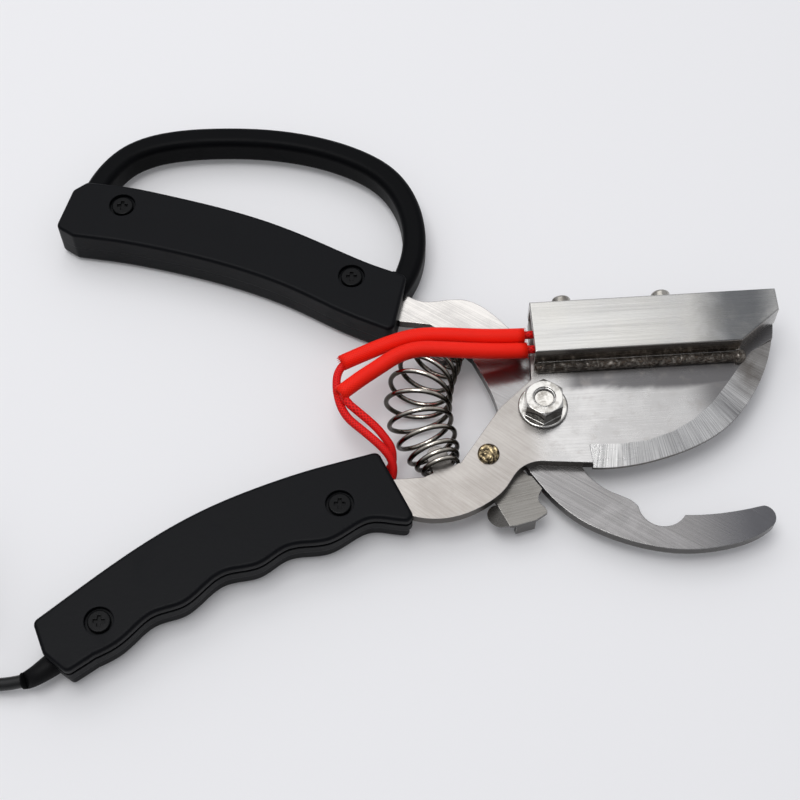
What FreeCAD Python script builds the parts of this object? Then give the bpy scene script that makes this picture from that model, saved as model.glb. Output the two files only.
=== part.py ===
import FreeCAD, Part
import Sketcher
import math
import os

# Hot-blade tail docking pliers: two crossed steel levers on one bolt, a curved blade with a heater
# housing above it, a hooked counter jaw, a barrel spring, a latch, two plastic grips and a mains cord.
# The plan is drawn from the pivot axis, +X towards the jaws, +Y towards the hand guard, +Z up.

Vector = FreeCAD.Vector
UP = Vector(0, 0, 1)

doc = FreeCAD.newDocument("docking_pliers")
SUB_PARTS = []

# Driving sizes, in millimetres and degrees
DRIVING_SIZES = {
    "pivot_x": 48.3,
    "pivot_y": -13.2,
    "jaw_reach": 100,
    "handle_reach": 200,
    "lever_thickness": 4.0,
    "lever_gap": 0.05,
    "seat_width": 7.5,
    "seat_length": 9.5,
    "bevel_land": 1.3,
    "bolt_diameter": 8.0,
    "bolt_clearance": 0.05,
    "bolt_head_flats": 13.0,
    "bolt_head_height": 5.3,
    "bolt_head_round": 0.5,
    "bolt_end_depth": 1.2,
    "washer_diameter": 16.0,
    "washer_thickness": 1.6,
    "nut_flats": 13.0,
    "nut_height": 8.0,
    "nut_flange_diameter": 17.9,
    "nut_flange_thickness": 1.5,
    "nut_flange_round": 0.6,
    "housing_length": 90.5,
    "housing_depth": 21.0,
    "housing_height": 10.0,
    "housing_wall": 2.0,
    "housing_tilt": 3.9,
    "housing_cut_length": 15.5,
    "housing_cut_depth": 12.0,
    "housing_end_wall": 18.0,
    "housing_round": 0.5,
    "weld_length": 73.0,
    "weld_end_radius": 2.7,
    "weld_radius": 2.0,
    "weld_reach": 1.6,
    "weld_rise": 0.8,
    "heater_diameter": 7.6,
    "heater_end_gap": 3.5,
    "bush_length": 6.0,
    "bush_depth": 12.0,
    "bush_height": 7.6,
    "bush_inset": 7.0,
    "clamp_block_end_gap": 10.5,
    "clamp_block_depth": 5.0,
    "clamp_block_height": 7.4,
    "clamp_block_inset": 16.0,
    "clamp_screw_rise": 5.8,
    "inner_gap": 0.1,
    "pan_screw_diameter": 4.0,
    "pan_head_diameter": 7.0,
    "pan_head_height": 3.0,
    "screw_clearance": 0.1,
    "latch_thickness": 1.5,
    "latch_gap": 0.1,
    "latch_side_gap": 0.5,
    "latch_tab_drop": 7.5,
    "latch_lobe_angle": 32.0,
    "rivet_diameter": 4.6,
    "rivet_head_diameter": 7.8,
    "rivet_head_height": 1.4,
    "rivet_tail_height": 1.1,
    "rivet_clearance": 0.06,
    "rivet_round": 0.9,
    "spring_wire": 1.8,
    "spring_turns": 11,
    "spring_end_radius": 6.1,
    "spring_middle_radius": 10.8,
    "spring_seat_gap": 0.5,
    "spring_closed_pitch": 2.75,
    "spring_rise": 1.5,
    "grip_height": 17.5,
    "rear_shell_height": 8.8,
    "grip_wall": 2.4,
    "grip_edge_round": 1.3,
    "grip_back_round": 3.0,
    "rear_inset": 1.0,
    "groove_depth": 0.9,
    "groove_height": 1.5,
    "groove_drop": 3.2,
    "boss_diameter": 7.6,
    "boss_clearance": 0.2,
    "grip_screw_diameter": 4.0,
    "grip_head_diameter": 8.0,
    "grip_head_height": 1.6,
    "grip_corner_round": 2.5,
    "cavity_corner_round": 0.6,
    "recess_diameter": 10.0,
    "recess_depth": 1.9,
    "grip_nut_flats": 7.0,
    "grip_nut_height": 3.2,
    "nut_pocket_depth": 3.6,
    "guard_height": 12.5,
    "guard_floor": 2.5,
    "guard_round": 2.8,
    "guard_gap": 0.05,
    "tab_width": 4.6,
    "tab_floor": 11.3,
    "tab_height": 3.3,
    "tab_length": 5.0,
    "tail_clearance": 0.2,
    "sleeve_diameter": 5.8,
    "sleeve_bore": 3.4,
    "lead_diameter": 3.0,
    "window_width": 9.4,
    "window_height": 7.6,
    "window_floor": 5.2,
    "crimp_diameter": 4.2,
    "crimp_length": 12.0,
    "core_diameter": 1.8,
    "cord_diameter": 4.5,
    "boot_diameter": 8.0,
    "boot_tip_diameter": 5.6,
    "boot_flange_diameter": 9.0,
    "boot_flange_thickness": 1.5,
    "clamp_floor": 7.2,
    "clamp_post_diameter": 3.6,
    "clamp_post_spacing": 8.8,
    "clamp_bar_length": 12.4,
    "clamp_bar_width": 5.0,
    "clamp_bar_thickness": 1.6,
    "clamp_screw_diameter": 2.4,
    "clamp_head_diameter": 4.2,
    "clamp_head_height": 1.3,
    "clamp_screw_depth": 4.5,
    "coil_layers": 4,
    "coil_turns": 9.25,
    "coil_middle_radius": 24.75,
    "coil_gap": 0.5,
    "coil_spread": 11.5,
    "tie_gap": 0.1,
    "tie_width": 6.0,
    "tie_thickness": 0.9,
    "plug_length": 26.0,
    "plug_width": 26.0,
    "plug_height": 13.5,
    "plug_round": 4.0,
    "plug_neck_length": 11.0,
    "plug_neck_diameter": 9.0,
    "plug_neck_end_diameter": 6.0,
    "plug_pin_diameter": 4.0,
    "plug_pin_length": 19.0,
    "plug_pin_spacing": 18.6,
    "overrun": 2.0,
}

sheet = doc.addObject("Spreadsheet::Sheet", "sizes")
for row, (alias, number) in enumerate(DRIVING_SIZES.items(), start=1):
    sheet.set("A%d" % row, alias)
    sheet.set("B%d" % row, str(number))
    sheet.setAlias("B%d" % row, alias)
doc.recompute()


# Reading and binding the sizes

def size(alias):
    """The sheet's value of one size."""
    return float(sheet.get(alias))


def amount(names):
    """The sum of several sizes; a name after a minus sign is taken away."""
    total = 0
    for name in names:
        total += -size(name[1:]) if name.startswith("-") else size(name)
    return total


def formula(names):
    """The same sum as an expression on the sheet."""
    parts = []
    for name in names:
        parts.append("- sizes." + name[1:] if name.startswith("-") else "+ sizes." + name)
    return "0 " + " ".join(parts)


SAME = 0.001

# Levels above the surface on which the pliers lie

WASHER_FLOOR = ["bolt_head_height"]
GUARD_LEVER_FLOOR = WASHER_FLOOR + ["washer_thickness", "lever_gap"]
GUARD_LEVER_TOP = GUARD_LEVER_FLOOR + ["lever_thickness"]
BLADE_LEVER_FLOOR = GUARD_LEVER_TOP + ["lever_gap"]
BLADE_LEVER_TOP = BLADE_LEVER_FLOOR + ["lever_thickness"]
NUT_TOP = BLADE_LEVER_TOP + ["nut_height"]
LATCH_TOP = BLADE_LEVER_FLOOR + ["-latch_gap"]
LATCH_FLOOR = LATCH_TOP + ["-latch_thickness"]
GRIP_TOP = ["grip_height"]
GRIP_SPLIT = ["rear_shell_height"]
GRIP_CEILING = ["grip_height", "-grip_wall"]
GRIP_FLOOR = ["grip_wall"]
GROOVE_TOP = ["grip_height", "-groove_drop"]

# Shares of the handle reach, from the pivot: the two grips

UPPER_GRIP_BACK_SHARES = [
    (-0.860, 0.489), (-0.788, 0.479), (-0.703, 0.459), (-0.604, 0.431),
    (-0.505, 0.396), (-0.407, 0.350), (-0.310, 0.301), (-0.243, 0.274),
]
UPPER_GRIP_FRONT_SHARES = [
    (-0.270, 0.152), (-0.356, 0.190), (-0.452, 0.242), (-0.573, 0.293),
    (-0.695, 0.329), (-0.794, 0.351), (-0.878, 0.364),
]
UPPER_GRIP_END_SHARES = [(-0.911, 0.385), (-0.886, 0.470)]
LOWER_GRIP_BACK_SHARES = [
    (-0.871, -0.412), (-0.768, -0.325), (-0.684, -0.260), (-0.598, -0.206),
    (-0.509, -0.164), (-0.419, -0.130), (-0.295, -0.093),
]
LOWER_GRIP_NOSE_SHARES = (-0.226, -0.2295)
LOWER_GRIP_END_SHARES = [(-0.806, -0.501), (-0.848, -0.468)]

# The finger edge of the lower grip: share along the edge's chord, then depth as a share of the chord
FINGER_EDGE_SHARES = [
    (0.115, 0.063), (0.237, 0.053), (0.348, 0.083), (0.434, 0.069), (0.530, 0.087),
    (0.660, 0.051), (0.736, 0.058), (0.863, 0.019), (0.914, 0.015),
]

UPPER_SCREW_SHARES = [(-0.788, 0.433), (-0.347, 0.272)]
LOWER_SCREW_SHARES = [(-0.760, -0.411), (-0.361, -0.195)]

# The hand guard, shares of the handle reach: outer edge, then inner edge the other way round
GUARD_OUTER_SHARES = [
    (-0.878, 0.455), (-0.862, 0.505), (-0.838, 0.548), (-0.800, 0.588), (-0.755, 0.612), (-0.700, 0.626),
    (-0.610, 0.633), (-0.510, 0.629), (-0.412, 0.610), (-0.330, 0.578), (-0.266, 0.532),
    (-0.226, 0.468), (-0.209, 0.400), (-0.209, 0.340), (-0.228, 0.275), (-0.262, 0.225),
]
GUARD_INNER_SHARES = [
    (-0.292, 0.230), (-0.268, 0.290), (-0.253, 0.345), (-0.253, 0.398), (-0.268, 0.452), (-0.302, 0.503),
    (-0.358, 0.542), (-0.428, 0.569), (-0.515, 0.586), (-0.610, 0.590), (-0.695, 0.583),
    (-0.745, 0.570), (-0.780, 0.550), (-0.806, 0.520), (-0.826, 0.480), (-0.836, 0.445),
]
GUARD_TAB_SHARES = [(-0.840, 0.487), (-0.262, 0.279)]
GUARD_TAB_ANGLES = [-85, -110]

# The blade lever: edge and back as shares of the jaw reach, the rest as shares of the handle reach
BLADE_EDGE_SHARES = [
    (0.862, 0.345), (0.846, 0.250), (0.806, 0.140), (0.745, 0.035),
    (0.671, -0.053), (0.557, -0.133), (0.420, -0.189), (0.290, -0.221), (0.168, -0.228),
]
BLADE_BACK_SHARES = [(0.860, 0.424), (-0.039, 0.363), (-0.037, 0.114)]
BEVEL_TOP_SHARES = [
    (0.775, 0.235), (0.722, 0.170), (0.672, 0.100), (0.610, 0.018),
    (0.540, -0.048), (0.462, -0.096), (0.370, -0.132), (0.270, -0.146), (0.160, -0.148),
]
BEVEL_EDGE_SHARES = [
    (0.900, 0.320), (0.853, 0.235), (0.806, 0.140), (0.745, 0.035),
    (0.671, -0.053), (0.557, -0.133), (0.420, -0.189), (0.290, -0.221), (0.170, -0.228),
]
BLADE_NECK_SHARES = [(-0.077, -0.001), (-0.150, -0.112)]
BLADE_SHOULDER_SHARES = [(-0.152, -0.111), (-0.214, -0.139)]
BLADE_TAIL_BACK_SHARES = [
    (-0.264, -0.143), (-0.370, -0.158), (-0.560, -0.228), (-0.690, -0.310), (-0.790, -0.400),
]
BLADE_TAIL_END_SHARES = (-0.800, -0.420)
BLADE_TAIL_FRONT_SHARES = [
    (-0.782, -0.440), (-0.690, -0.378), (-0.560, -0.298), (-0.370, -0.232), (-0.236, -0.213),
]
BLADE_BELLY_SHARES = [
    (-0.212, -0.218), (-0.162, -0.215), (-0.104, -0.189), (-0.070, -0.158),
    (-0.045, -0.122), (-0.029, -0.112), (-0.006, -0.107),
]
BLADE_HEEL_SHARES = (0.168, -0.220)
RIVET_SHARES = (-0.100, -0.094)

# The guard lever: the jaw as shares of the jaw reach, the rest as shares of the handle reach
JAW_BACK_SHARES = [
    (0.000, -0.310), (0.048, -0.365), (0.120, -0.425), (0.211, -0.473), (0.311, -0.509),
    (0.411, -0.530), (0.524, -0.534), (0.630, -0.518), (0.735, -0.481), (0.785, -0.447),
]
JAW_TIP_SHARES = [(0.801, -0.405), (0.764, -0.368)]
JAW_LIP_SHARES = [(0.680, -0.387), (0.575, -0.402), (0.484, -0.405)]
JAW_NOTCH_SHARES = [(0.404, -0.448), (0.323, -0.372)]
JAW_THROAT_SHARES = [
    (0.309, -0.356), (0.226, -0.313), (0.178, -0.278), (0.137, -0.225), (0.150, -0.060), (0.152, 0.030),
]
GUARD_NECK_SHARES = [(0.100, 0.120), (0.000, 0.240)]
GUARD_BACK_SHARES = [
    (-0.058, 0.182), (-0.093, 0.217), (-0.133, 0.239), (-0.174, 0.239), (-0.194, 0.236), (-0.235, 0.244),
]
GUARD_TAIL_BACK_SHARES = [
    (-0.290, 0.274), (-0.345, 0.301), (-0.450, 0.352), (-0.560, 0.392), (-0.680, 0.432), (-0.790, 0.464),
]
GUARD_TAIL_END_SHARES = (-0.830, 0.440)
GUARD_TAIL_FRONT_SHARES = [
    (-0.820, 0.405), (-0.780, 0.398), (-0.680, 0.366), (-0.560, 0.326),
    (-0.450, 0.284), (-0.345, 0.238), (-0.257, 0.193),
]
GUARD_SHOULDER_SHARES = [(-0.200, 0.186), (-0.193, 0.181), (-0.124, 0.113)]
GUARD_BELLY_SHARES = [(-0.104, 0.073), (-0.087, 0.032), (-0.078, 0.000), (-0.066, -0.042)]
GUARD_HEEL_SHARES = (-0.026, -0.119)

# The heater housing's front left corner, shares of the jaw reach
HOUSING_CORNER_SHARES = (-0.027, 0.173)
HOUSING_SCREW_SHARES = [0.135, 0.541]

# Spring seats: foot as a share of the handle reach, and the way that the tongue points
BLADE_SEAT_FOOT_SHARES = (-0.180, -0.1235)
BLADE_SEAT_LEAN = 112
GUARD_SEAT_FOOT_SHARES = (-0.159, 0.1475)
GUARD_SEAT_LEAN = 225
SPRING_BOW_SHARES = (-0.224, 0.015)

# The latch, shares of the handle reach
LATCH_EYE_SHARE = 0.031
LATCH_OUTLINE_SHARES = [
    (-0.070, -0.085), (-0.0305, -0.125), (-0.0065, -0.1525), (-0.013, -0.1695), (-0.0115, -0.1775),
    (-0.0005, -0.1905), (0.001, -0.1985), (-0.0185, -0.212), (-0.053, -0.2225), (-0.0645, -0.2235),
    (-0.084, -0.186), (-0.128, -0.112),
]
LATCH_TAB_SHARES = [(-0.053, -0.2225), (-0.0185, -0.212)]
LATCH_FOLD_SHARES = [(-0.084, -0.186), (-0.0645, -0.2235)]
LATCH_LOBE_SHARES = [
    (-0.095, -0.184), (-0.106, -0.194), (-0.105, -0.206), (-0.097, -0.2165), (-0.085, -0.2235),
]


def ahead(share):
    """A plan point on the jaw side."""
    return Vector(share[0] * size("jaw_reach"), share[1] * size("jaw_reach"), 0)


def behind(share):
    """A plan point on the handle side."""
    return Vector(share[0] * size("handle_reach"), share[1] * size("handle_reach"), 0)


def front_points(shares):
    return [ahead(share) for share in shares]


def rear_points(shares):
    return [behind(share) for share in shares]


# Sketches and features

class Outline:
    """A closed plan outline made of straight lines, arcs and smooth curves."""

    def __init__(self, start):
        self.start = start
        self.end = start
        self.pieces = []

    def line(self, *points):
        for point in points:
            self.pieces.append(Part.LineSegment(self.end, point))
            self.end = point
        return self

    def arc(self, middle, point):
        self.pieces.append(Part.Arc(self.end, middle, point))
        self.end = point
        return self

    def curve(self, *points, ways=None):
        """A smooth curve through points, which can start and end in two ways given."""
        smooth = Part.BSplineCurve()
        if ways:
            start_way, end_way = [Vector(way).normalize() for way in ways]
            smooth.interpolate(
                Points=[self.end] + list(points), InitialTangent=start_way, FinalTangent=end_way)
        else:
            smooth.interpolate([self.end] + list(points))
        self.pieces.append(smooth)
        self.end = points[-1]
        return self

    def close(self):
        if self.end.distanceToPoint(self.start) > 0:
            self.line(self.start)
        return self

    def wire(self, level=0):
        wire = Part.Wire(Part.__sortEdges__([piece.toShape() for piece in self.pieces]))
        return wire.translated(Vector(0, 0, level))


def drawn_in(places, inset):
    """The corners of a closed clockwise plan, each moved in square to its two sides."""
    moved = []
    for number, corner in enumerate(places):
        arrive = (corner - places[number - 1]).normalize()
        leave = (places[(number + 1) % len(places)] - corner).normalize()
        inward = Vector(arrive.y + leave.y, -arrive.x - leave.x, 0)
        moved.append(corner + inward * (inset / (1 + arrive.dot(leave))))
    return moved


def widened(outline, spare):
    """The wire of an outline moved out all round by some spare, in short straight sides."""
    places = []
    for piece in outline.pieces:
        places += piece.toShape().discretize(Deflection=spare / 4)[:-1]
    if sum(here.cross(beyond).z for here, beyond in zip(places, places[1:] + places[:1])) > 0:
        places.reverse()
    places = drawn_in(places, -spare)
    return Part.makePolygon(places + places[:1])


def plane_of(body, role="XY_Plane"):
    for feature in body.Origin.OriginFeatures:
        if feature.Role == role:
            return feature
    raise ValueError("no plane " + role)


def new_body(name):
    return doc.addObject("PartDesign::Body", name)


def new_sketch(body, name, level):
    """A sketch on the body's own ground plane, lifted to a level of the sheet."""
    sketch = body.newObject("Sketcher::SketchObject", name)
    sketch.AttachmentSupport = (plane_of(body), [""])
    sketch.MapMode = "FlatFace"
    if level:
        sketch.setExpression("AttachmentOffset.Base.z", formula(level))
    return sketch


def draw(body, name, level, pieces):
    sketch = new_sketch(body, name, level)
    for piece in pieces:
        sketch.addGeometry(piece, False)
    doc.recompute()
    return sketch


def circles(body, name, level, centres, diameter, spare=None):
    """A sketch of equal circles whose radius is bound to the sheet."""
    sketch = new_sketch(body, name, level)
    radius = size(diameter) / 2
    rule = "sizes.%s / 2" % diameter
    if spare:
        radius += size(spare)
        rule += " + sizes.%s" % spare
    for centre in centres:
        sketch.addGeometry(Part.Circle(centre, UP, radius), False)
        number = sketch.addConstraint(Sketcher.Constraint("Radius", sketch.GeometryCount - 1, radius))
        sketch.setExpression("Constraints[%d]" % number, rule)
    doc.recompute()
    return sketch


def pad(body, sketch, height):
    feature = body.newObject("PartDesign::Pad", sketch.Name + "_pad")
    feature.Profile = sketch
    feature.Type = "Length"
    feature.setExpression("Length", formula(height))
    doc.recompute()
    return feature


def pocket(body, sketch, depth, upward=False):
    """Cut a sketch out of the body, down from its level or up from it, and make sure that it cut."""
    before = body.Shape.Volume
    feature = body.newObject("PartDesign::Pocket", sketch.Name + "_pocket")
    feature.Profile = sketch
    feature.Type = "Length"
    feature.setExpression("Length", formula(depth))
    feature.Reversed = upward
    doc.recompute()
    if body.Shape.Volume >= before:
        raise ValueError(sketch.Name + " cuts nothing")
    return feature


def level_edges(shape, level):
    """Names of the edges that lie flat at a level."""
    names = []
    for number, edge in enumerate(shape.Edges, start=1):
        box = edge.BoundBox
        if abs(box.ZMin - level) < SAME and abs(box.ZMax - level) < SAME:
            names.append("Edge%d" % number)
    return names


def round_edges(body, base, names, radius):
    feature = body.newObject("PartDesign::Fillet", base.Name + "_round")
    feature.Base = (base, names)
    feature.setExpression("Radius", formula([radius]))
    doc.recompute()
    return feature


def solid_piece(name, shape):
    """A piece shaped by code from the sheet's sizes."""
    piece = doc.addObject("Part::Feature", name)
    piece.Shape = shape
    return piece


def cut(name, base, tool):
    piece = doc.addObject("Part::Cut", name)
    piece.Base = base
    piece.Tool = tool
    doc.recompute()
    return piece


def fuse(name, *shapes):
    piece = doc.addObject("Part::MultiFuse", name)
    piece.Shapes = list(shapes)
    doc.recompute()
    return piece


def place(piece, label):
    """Stand a finished piece in the part's frame and name its node."""
    piece.Label = label
    piece.setExpression("Placement.Base.x", "sizes.pivot_x")
    piece.setExpression("Placement.Base.y", "sizes.pivot_y")
    SUB_PARTS.append(piece)
    return piece


def prism(wire, height):
    return Part.Face(wire).extrude(Vector(0, 0, height))


def cylinder(centre, direction, radius, length):
    return Part.makeCylinder(radius, length, centre, direction)


def hexagon(centre, flats):
    corners = []
    for turn in range(7):
        angle = math.radians(60 * turn + 30)
        reach = flats / math.sqrt(3)
        corners.append(centre + Vector(reach * math.cos(angle), reach * math.sin(angle), 0))
    return Part.makePolygon(corners)


def traced(wire):
    """The curves of a wire, ready for a sketch."""
    curves = []
    for edge in wire.Edges:
        if edge.Curve.TypeId == "Part::GeomLine":
            start, end = [edge.valueAt(at) for at in (edge.FirstParameter, edge.LastParameter)]
            curves.append(Part.LineSegment(start, end))
        else:
            curves.append(edge.Curve.toBSpline(edge.FirstParameter, edge.LastParameter))
    return curves


def stack(name, centres, discs):
    """A body of round discs at every centre, each disc a level, a height and a diameter."""
    body = new_body(name)
    body.AllowCompound = True
    for number, (level, height, diameter) in enumerate(discs, start=1):
        pad(body, circles(body, "%s_%d" % (name, number), level, centres, diameter), height)
    return body


# Blade lever: blade, neck, spring seat and tail in one plate


def seat(foot, lean, outline):
    """Add a spring seat, a round-ended tongue that stands on an edge, to an outline."""
    half = size("seat_width") / 2
    forward = Vector(math.cos(lean), math.sin(lean), 0)
    aside = Vector(-forward.y, forward.x, 0)
    shank = size("seat_length") - half
    right = foot - aside * half
    left = foot + aside * half
    outline.line(right, right + forward * shank)
    outline.arc(foot + forward * size("seat_length"), left + forward * shank)
    outline.line(left)
    return outline


blade_seat_lean = math.radians(BLADE_SEAT_LEAN)
guard_seat_lean = math.radians(GUARD_SEAT_LEAN)
blade_seat_foot = behind(BLADE_SEAT_FOOT_SHARES)
guard_seat_foot = behind(GUARD_SEAT_FOOT_SHARES)


def blade_lever_outline():
    outline = Outline(ahead(BLADE_EDGE_SHARES[0]))
    outline.line(*front_points(BLADE_BACK_SHARES))
    outline.line(*rear_points(BLADE_NECK_SHARES))
    outline.line(behind(BLADE_SHOULDER_SHARES[0]))
    seat(blade_seat_foot, blade_seat_lean, outline)
    outline.line(behind(BLADE_SHOULDER_SHARES[1]))
    outline.line(behind(BLADE_TAIL_BACK_SHARES[0]))
    outline.curve(*rear_points(BLADE_TAIL_BACK_SHARES[1:]))
    outline.arc(behind(BLADE_TAIL_END_SHARES), behind(BLADE_TAIL_FRONT_SHARES[0]))
    outline.curve(*rear_points(BLADE_TAIL_FRONT_SHARES[1:]))
    outline.curve(*rear_points(BLADE_BELLY_SHARES))
    outline.line(ahead(BLADE_HEEL_SHARES))
    outline.line(ahead(BLADE_EDGE_SHARES[-1]))
    outline.curve(*front_points(BLADE_EDGE_SHARES[-2::-1]))
    return outline.close()


blade_outline = blade_lever_outline()
blade_blank = new_body("blade_blank")
blade_plan = draw(blade_blank, "blade_outline", BLADE_LEVER_FLOOR, blade_outline.pieces)
pad(blade_blank, blade_plan, ["lever_thickness"])
LOWER_SCREWS = rear_points(LOWER_SCREW_SHARES)
UPPER_SCREWS = rear_points(UPPER_SCREW_SHARES)
RIVET_CENTRE = behind(RIVET_SHARES)
for hole_name, centres, diameter, spare in (
        ("blade_bolt_hole", [Vector()], "bolt_diameter", "bolt_clearance"),
        ("blade_rivet_hole", [RIVET_CENTRE], "rivet_diameter", "rivet_clearance"),
        ("blade_tail_holes", LOWER_SCREWS, "boss_diameter", "boss_clearance")):
    hole = circles(blade_blank, hole_name, BLADE_LEVER_TOP, centres, diameter, spare)
    pocket(blade_blank, hole, ["lever_thickness"])


def bevel_cutter():
    """The wedge ground off above the cutting edge, a ruled loft through one triangle for each station."""
    top = amount(BLADE_LEVER_TOP)
    land = amount(BLADE_LEVER_FLOOR) + size("bevel_land")
    triangles = []
    for high, low in zip(front_points(BEVEL_TOP_SHARES), front_points(BEVEL_EDGE_SHARES)):
        slope = (low - high) + Vector(0, 0, land - top)
        inner = high + Vector(0, 0, top) - slope * (size("overrun") / slope.Length)
        outer = low + Vector(0, 0, land) + slope * (size("overrun") / slope.Length)
        above = Vector(outer.x, outer.y, inner.z)
        triangles.append(Part.makePolygon([inner, outer, above, inner]))
    return Part.makeLoft(triangles, True, True)


blade_lever = cut("blade_ground", blade_blank, solid_piece("bevel_cutter", bevel_cutter()))
place(blade_lever, "blade_lever")

# Guard lever: hooked counter jaw, neck, spring seat and tail in one plate


def guard_lever_outline():
    outline = Outline(behind(GUARD_HEEL_SHARES))
    outline.line(ahead(JAW_BACK_SHARES[0]))
    outline.curve(*front_points(JAW_BACK_SHARES[1:]))
    outline.arc(ahead(JAW_TIP_SHARES[0]), ahead(JAW_TIP_SHARES[1]))
    outline.curve(*front_points(JAW_LIP_SHARES))
    outline.arc(ahead(JAW_NOTCH_SHARES[0]), ahead(JAW_NOTCH_SHARES[1]))
    outline.curve(*front_points(JAW_THROAT_SHARES))
    outline.line(*front_points(GUARD_NECK_SHARES))
    outline.line(behind(GUARD_BACK_SHARES[0]))
    outline.curve(*rear_points(GUARD_BACK_SHARES[1:]))
    outline.curve(*rear_points(GUARD_TAIL_BACK_SHARES))
    outline.arc(behind(GUARD_TAIL_END_SHARES), behind(GUARD_TAIL_FRONT_SHARES[0]))
    outline.curve(*rear_points(GUARD_TAIL_FRONT_SHARES[1:]))
    outline.line(*rear_points(GUARD_SHOULDER_SHARES[:2]))
    seat(guard_seat_foot, guard_seat_lean, outline)
    outline.line(behind(GUARD_SHOULDER_SHARES[2]))
    outline.curve(*rear_points(GUARD_BELLY_SHARES))
    return outline.close()


guard_outline = guard_lever_outline()
guard_lever = new_body("guard_plate")
guard_plan = draw(guard_lever, "guard_outline", GUARD_LEVER_FLOOR, guard_outline.pieces)
pad(guard_lever, guard_plan, ["lever_thickness"])
for hole_name, centres, diameter, spare in (
        ("guard_bolt_hole", [Vector()], "bolt_diameter", "bolt_clearance"),
        ("guard_tail_holes", UPPER_SCREWS, "boss_diameter", "boss_clearance")):
    hole = circles(guard_lever, hole_name, GUARD_LEVER_TOP, centres, diameter, spare)
    pocket(guard_lever, hole, ["lever_thickness"])
place(guard_lever, "guard_lever")

# Pivot: a hex bolt from below, a plain washer and a flange nut on top

ON_PIVOT = [Vector()]

pivot_bolt = new_body("bolt")
bolt_head = draw(pivot_bolt, "bolt_head", [], traced(hexagon(Vector(), size("bolt_head_flats"))))
bolt_head_pad = pad(pivot_bolt, bolt_head, ["bolt_head_height"])
round_edges(pivot_bolt, bolt_head_pad, level_edges(bolt_head_pad.Shape, 0), "bolt_head_round")
bolt_shank = circles(pivot_bolt, "bolt_shank", WASHER_FLOOR, ON_PIVOT, "bolt_diameter")
pad(pivot_bolt, bolt_shank, NUT_TOP + ["-bolt_end_depth", "-bolt_head_height"])
place(pivot_bolt, "pivot_bolt")

pivot_washer = stack("washer", ON_PIVOT, [(WASHER_FLOOR, ["washer_thickness"], "washer_diameter")])
washer_bore = circles(
    pivot_washer, "washer_bore", GUARD_LEVER_FLOOR, ON_PIVOT, "bolt_diameter", "bolt_clearance")
pocket(pivot_washer, washer_bore, ["washer_thickness", "lever_gap"])
place(pivot_washer, "pivot_washer")

nut_blank = stack("nut_blank", ON_PIVOT, [(BLADE_LEVER_TOP, ["nut_flange_thickness"], "nut_flange_diameter")])
nut_flange = nut_blank.Tip
flange_rim = level_edges(nut_flange.Shape, amount(BLADE_LEVER_TOP + ["nut_flange_thickness"]))
round_edges(nut_blank, nut_flange, flange_rim, "nut_flange_round")
nut_hexagon = draw(nut_blank, "nut_hexagon", BLADE_LEVER_TOP, traced(hexagon(Vector(), size("nut_flats"))))
pad(nut_blank, nut_hexagon, ["nut_height"])
nut_bore = circles(nut_blank, "nut_bore", NUT_TOP, ON_PIVOT, "bolt_diameter", "bolt_clearance")
pocket(nut_blank, nut_bore, ["nut_height"])
nut_cone = doc.addObject("Part::Cone", "nut_cone")
nut_cone.setExpression("Height", "sizes.nut_height")
nut_cone.setExpression("Radius1", "sizes.nut_flats / 2 + 2 * sizes.nut_height")
nut_cone.setExpression("Radius2", "sizes.nut_flats / 2 - sizes.bolt_clearance")
nut_cone.setExpression("Placement.Base.z", formula(BLADE_LEVER_TOP))
pivot_nut = doc.addObject("Part::Common", "nut")
pivot_nut.Base = nut_blank
pivot_nut.Tool = nut_cone
doc.recompute()
place(pivot_nut, "pivot_nut")

# Heater housing: a steel box, open below and at the left, welded along its front foot

housing_tilt = math.radians(size("housing_tilt"))
housing_along = Vector(math.cos(housing_tilt), math.sin(housing_tilt), 0)
housing_across = Vector(-housing_along.y, housing_along.x, 0)


def in_housing(along, across, level=0):
    """A place measured from the housing's front left corner, along it and across it."""
    return ahead(HOUSING_CORNER_SHARES) + housing_along * along + housing_across * across + UP * level


def housing_frame(corners):
    """The sides of a polygon whose corners are places in the housing."""
    places = [in_housing(along, across) for along, across in corners]
    return [Part.LineSegment(a, b) for a, b in zip(places, places[1:] + places[:1])]


housing_length = size("housing_length")
housing_depth = size("housing_depth")
housing_wall = size("housing_wall")
inner_end = housing_length - size("housing_end_wall")
inner_back = housing_depth - housing_wall

housing_box = new_body("housing_box")
housing_plan = housing_frame([
    (0, 0), (housing_length - size("housing_cut_length"), 0), (housing_length, size("housing_cut_depth")),
    (housing_length, housing_depth), (0, housing_depth)])
housing_sketch = draw(housing_box, "housing_plan", BLADE_LEVER_TOP, housing_plan)
housing_pad = pad(housing_box, housing_sketch, ["housing_height"])
housing_rim = level_edges(housing_pad.Shape, amount(BLADE_LEVER_TOP + ["housing_height"]))
round_edges(housing_box, housing_pad, housing_rim, "housing_round")
housing_hollow = housing_frame([
    (-size("overrun"), housing_wall), (inner_end, housing_wall), (inner_end, inner_back),
    (-size("overrun"), inner_back)])
hollow_sketch = draw(housing_box, "housing_hollow", BLADE_LEVER_TOP, housing_hollow)
pocket(housing_box, hollow_sketch, ["housing_height", "-housing_wall"], True)


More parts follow.
